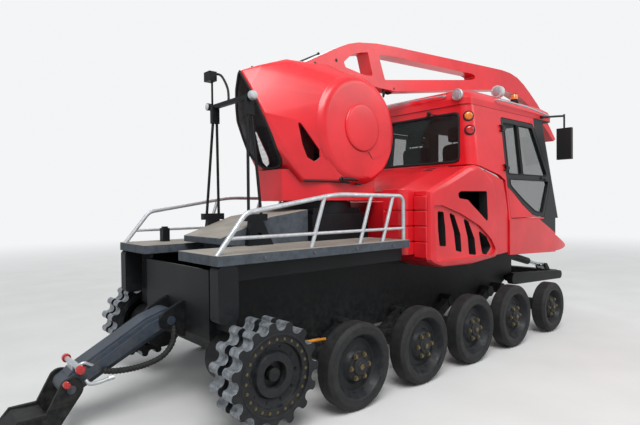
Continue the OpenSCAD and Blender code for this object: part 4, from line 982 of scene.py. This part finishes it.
piece_of("roof_wiper", lambda shape: (
    swept(shape, curved([at(2930, 560, 2862), at(2924, 200, 2876), at(2926, -300, 2872),
                         at(2934, -560, 2862)]), lambda d: 9, 12),
    turned(shape, at(2950, -560, 2862), (-1, 0, 0), [(18, 0), (18, 20), (0, 20)], 20),
    turned(shape, at(2950, 560, 2862), (-1, 0, 0), [(18, 0), (18, 20), (0, 20)], 20)),
    TUBE, "chassis", "silver_tube")
piece_of("rear_wiper", lambda shape: (
    turned(shape, at(2962, -330, 2690), (-1, 0, 0), [(26, 0), (26, 18), (18, 24), (0, 24)], 24),
    swept(shape, curved([at(2938, -330, 2690), at(2932, -390, 2672), at(2934, -470, 2650)]), lambda d: 6, 10),
    swept(shape, [at(2938, -300, 2664), at(2938, -620, 2600)], lambda d: 5, 10)),
    PLASTIC, "chassis", "black_paint")
piece_of("beacon_lens", lambda shape: turned(shape, at(4250, -740, 2925.6 + 110.3), (0, 0, 1), [
    (44, -70), (46, -68), (46, -8), (40, 0), (20, 5), (0, 6)], 36), LAMP_AMBER, "chassis", "lamp")

# Deck and rear: black post and rows of screws
piece_of("deck_post", lambda shape: (
    block(shape, at(60, 700, 1270.2), at(130, 780, 1400)),
    block(shape, at(72, 712, 1399), at(118, 768, 1415))), BLACK, "chassis", "black_paint", bevel_mm=3)
for side in (RIGHT, LEFT):
    grown("rear_panel_screws_" + side_name(side), BOLT_ROW, {
        "Count": 3, "First": at(-90, side * 640, 1100), "Step": Vector((0, side * 85 * MM, 0)),
        "Turn": (0.0, -math.pi / 2, 0.0), "Across flats": 19 * MM, "Head height": 8 * MM, "Finish": BOLT},
        "chassis", "cast_teeth")
    grown("deck_edge_screws_" + side_name(side), BOLT_ROW, {
        "Count": 4, "First": at(120, side * 940, 1232), "Step": Vector((480 * MM, 0, 0)),
        "Turn": outward(side), "Across flats": 17 * MM, "Head height": 7 * MM, "Finish": BOLT},
        "chassis", "cast_teeth")

# Rear arm: ribbed hose with a rib every 26 mm, elbow pipe, coupling pipe and red caps
ARM_HOSE = curved([at(-235, -148, 665), at(-240, -175, 600), at(-262, -185, 520), at(-330, -180, 440),
                   at(-430, -172, 400), at(-560, -168, 385), at(-700, -166, 395), at(-790, -152, 415)], 5)
hose = piece_of("arm_hose", lambda shape: swept(
    shape, ARM_HOSE, lambda d: 22 + 2.2 * math.sin(2 * math.pi * d / 26), 16),
    RUBBER, "implement_arm", "black_paint")
piece_of("arm_pipe", lambda shape: (
    swept(shape, curved([at(-900, -150, 372), at(-880, -168, 345), at(-820, -172, 340), at(-740, -170, 352)]),
          lambda d: 14, 16),
    turned(shape, at(-752, -170, 350), (1, 0, 0.12), [(20, 0), (20, 40), (0, 40)], 6)), TUBE, "implement_arm",
    "silver_tube")
# A pipe across the end of the arm carries a coupling on each side, and a third sits on the right cheek
COUPLING_X, COUPLING_Z, ARM_HALF, CHEEK_OUT = -945, 464, 130, 165
PIPE_END = ARM_HALF + 34
piece_of("coupling_pipe", lambda shape: (
    swept(shape, [at(COUPLING_X, -PIPE_END, COUPLING_Z), at(COUPLING_X, PIPE_END, COUPLING_Z)],
          lambda d: 19, 20),
    block(shape, at(COUPLING_X - 26, -60, COUPLING_Z - 34), at(COUPLING_X + 26, 60, COUPLING_Z + 8)),
    swept(shape, curved([at(COUPLING_X + x, y, COUPLING_Z + z) for x, y, z in (
        (0, -100, 0), (40, -110, 22), (90, -112, -2), (120, -112, -22))]), lambda d: 12, 14)),
    TUBE, "implement_arm", "silver_tube", bevel_mm=2)
for i, (x, y, z, r) in enumerate(((COUPLING_X, -PIPE_END - HAIR, COUPLING_Z, 32),
                                  (-1036, -CHEEK_OUT - HAIR, 378, 24),
                                  (COUPLING_X, PIPE_END + HAIR, COUPLING_Z, 32))):
    piece_of("red_cap_%d" % (i + 1), lambda shape: turned(shape, at(x, y, z), (0, math.copysign(1, y), 0), [
        (r * 0.72, 0), (r * 0.72, 8), (r, 10), (r, 36), (r * 0.86, 44), (r * 0.5, 46), (0, 46)], 28),
        LAMP_RED, "implement_arm", "lamp")

# Yellow tie between the sprocket and the first wheel
piece_of("yellow_strap", lambda shape: (
    swept(shape, curved([at(400, -1010, 566), at(520, -1008, 556), at(640, -1012, 548)]), lambda d: 13, 8)),
    STRAP, "chassis", "lamp")


# Seats: crowned cloth cushions on a dark frame
def pad(name, low, high, crown_mm, lean=0.0):
    """A cushion between two corners: its sides pull in, and its two large faces are crowned"""
    shape = bmesh.new()
    made = bmesh.ops.create_cube(shape, size=1.0)["verts"]
    middle, size = (low + high) / 2, high - low
    for v in made:
        v.co = Vector((v.co.x * size.x, v.co.y * size.y, v.co.z * size.z))
    bmesh.ops.subdivide_edges(shape, edges=shape.edges, cuts=5, use_grid_fill=True)
    half = size / 2
    for v in shape.verts:
        u = [v.co[k] / half[k] for k in range(3)]
        for k in range(3):
            others = [u[j] for j in range(3) if j != k]
            v.co[k] *= 1 - 0.10 * (others[0] ** 2 + others[1] ** 2) / 2
        thin = min(range(3), key=lambda k: size[k])
        if abs(u[thin]) > 0.99:
            others = [u[j] for j in range(3) if j != thin]
            v.co[thin] += math.copysign(crown_mm * MM, u[thin]) * (1 - others[0] ** 2) * (1 - others[1] ** 2)
    turn = Matrix.Rotation(lean, 4, "Y")
    for v in shape.verts:
        v.co = turn @ v.co + middle
    bmesh.ops.recalc_face_normals(shape, faces=shape.faces)
    mesh = bpy.data.meshes.new(name)
    shape.to_mesh(mesh)
    shape.free()
    piece = finished(name, mesh, CLOTH, "chassis", "seat_fabric", 60)
    skin = piece.modifiers.new("skin", "SUBSURF")
    skin.levels = skin.render_levels = 2
    return piece


for side in (RIGHT, LEFT):
    y = side * 330
    cushion = pad("seat_cushion_" + side_name(side), at(3650, y - 235, 1590), at(4140, y + 235, 1720), 12)
    rest = pad("seat_back_" + side_name(side), at(3545, y - 225, 1690), at(3655, y + 225, 2390), 12,
               math.radians(-6))
    head = pad("head_rest_" + side_name(side), at(3500, y - 115, 2400), at(3585, y + 115, 2590), 8)
    piece_of("seat_frame_" + side_name(side), lambda shape: (
        block(shape, at(3760, y - 60, 1180.3), at(4020, y + 60, 1400)),
        block(shape, at(3670, y - 200, 1400), at(4110, y + 200, 1580)),
        swept(shape, [at(3540, y - 60, 2380), at(3540, y - 60, 2430)], lambda d: 7, 10),
        swept(shape, [at(3540, y + 60, 2380), at(3540, y + 60, 2430)], lambda d: 7, 10)),
        PLASTIC, "chassis", "black_paint", bevel_mm=6)
    if side == RIGHT:
        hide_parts("seats")


# Camera at the photograph's place, matched to the wheels and the deck corners
CAMERA_AT = (-4.744, -3.892, 1.616)
CAMERA_YAW = 48.74
CAMERA_PITCH = -0.94
CAMERA_ROLL = 0.58
FOCAL_PX = 488.6
FRAME_PX = 640


def photo_camera():
    """A camera with the photograph's place, turn and lens"""
    data = bpy.data.cameras.new("photo_camera")
    data.sensor_width = 36.0
    data.lens = FOCAL_PX / FRAME_PX * data.sensor_width
    data.clip_start = 0.05
    data.clip_end = 200.0
    camera = bpy.data.objects.new("photo_camera", data)
    bpy.context.scene.collection.objects.link(camera)
    turn = (Matrix.Rotation(math.radians(CAMERA_YAW - 90), 4, "Z")
            @ Matrix.Rotation(math.radians(90 + CAMERA_PITCH), 4, "X")
            @ Matrix.Rotation(math.radians(-CAMERA_ROLL), 4, "Z"))
    camera.matrix_world = Matrix.Translation(CAMERA_AT) @ turn
    bpy.context.scene.camera = camera


def lamp(name, place, aim, size, power):
    """A square area lamp that points at a place. Sizes are in metres and the power is in watts"""
    data = bpy.data.lights.new(name, "AREA")
    data.energy = power
    data.size = size
    light = bpy.data.objects.new(name, data)
    bpy.context.scene.collection.objects.link(light)
    light.location = place
    light.rotation_euler = (Vector(aim) - Vector(place)).to_track_quat("-Z", "Y").to_euler()


def on_rays(tree, *kinds):
    """1 on rays of the given kinds and 0 on all others"""
    rays = add(tree, "ShaderNodeLightPath").outputs
    found = rays[kinds[0]]
    for kind in kinds[1:]:
        found = add(tree, "ShaderNodeMath", {0: found, 1: rays[kind]}, operation="MAXIMUM").outputs[0]
    return found


def sky():
    """A bright even sky, paler to the eye than the light that it gives"""
    world = bpy.data.worlds.new("sky")
    bpy.context.scene.world = world
    world.use_nodes = True
    tree = world.node_tree
    tree.nodes.clear()
    seen = on_rays(tree, "Is Camera Ray", "Is Transmission Ray")
    shown = add(tree, "ShaderNodeBackground", in_Color=linear("#f4f5f6"), in_Strength=1.0)
    light = add(tree, "ShaderNodeBackground", in_Color=linear("#eef2f6"), in_Strength=0.62)
    both = add(tree, "ShaderNodeMixShader", {0: seen, 1: light, 2: shown})
    add(tree, "ShaderNodeOutputWorld", {0: both})


def floor():
    """Pale floor that fades into the sky. It is pale to the eye, in gloss and through glass, and darker to
    the light that it throws up, as asphalt is"""
    material, tree, place = new_material("pale_floor")
    cloud = add(tree, "ShaderNodeTexNoise", {"Vector": place}, in_Scale=1 / (900 * MM), in_Detail=3.0,
                in_Roughness=0.5)
    patches = add(tree, "ShaderNodeMapRange", {0: cloud}, in_From_Min=0.35, in_From_Max=0.65)
    pale = add(tree, "ShaderNodeMix", {0: patches}, data_type="RGBA",
               in_6=linear("#d8d8d6"), in_7=linear("#d2d2d0"))
    seen = on_rays(tree, "Is Camera Ray", "Is Transmission Ray", "Is Glossy Ray")
    tone = add(tree, "ShaderNodeMix", {0: seen, 7: pale.outputs[2]}, data_type="RGBA", in_6=linear("#8e8e8c"))
    ground = add(tree, "ShaderNodeBsdfPrincipled", {"Base Color": tone.outputs[2]}, in_Roughness=0.95)
    away = add(tree, "ShaderNodeVectorMath", {0: place}, operation="LENGTH")
    far = add(tree, "ShaderNodeMapRange", {0: away.outputs["Value"]}, interpolation_type="SMOOTHSTEP",
              in_From_Min=4.0, in_From_Max=22.0)
    glow = add(tree, "ShaderNodeEmission", in_Color=linear("#f4f5f6"), in_Strength=1.0)
    both = add(tree, "ShaderNodeMixShader", {0: far, 1: ground, 2: glow})
    add(tree, "ShaderNodeOutputMaterial", {"Surface": both})
    mesh = bpy.data.meshes.new("floor")
    reach = 60
    mesh.from_pydata([(-reach, -reach, 0), (reach, -reach, 0), (reach, reach, 0), (-reach, reach, 0)], [],
                     [(0, 1, 2, 3)])
    mesh.materials.append(material)
    ground_piece = bpy.data.objects.new("floor", mesh)
    bpy.context.scene.collection.objects.link(ground_piece)


photo_camera()
# Soft overcast light: a large lamp high above the camera, and two weak ones from the right and from behind
lamp("key", (-6, -7, 12), (0, 0, 1.2), 7.0, 1500)
lamp("fill", (7, -9, 8), (1, 0, 1.2), 6.0, 300)
lamp("back", (4, 10, 9), (0, 0, 1.5), 6.0, 300)
sky()
floor()
bpy.context.scene.view_settings.view_transform = "Standard"
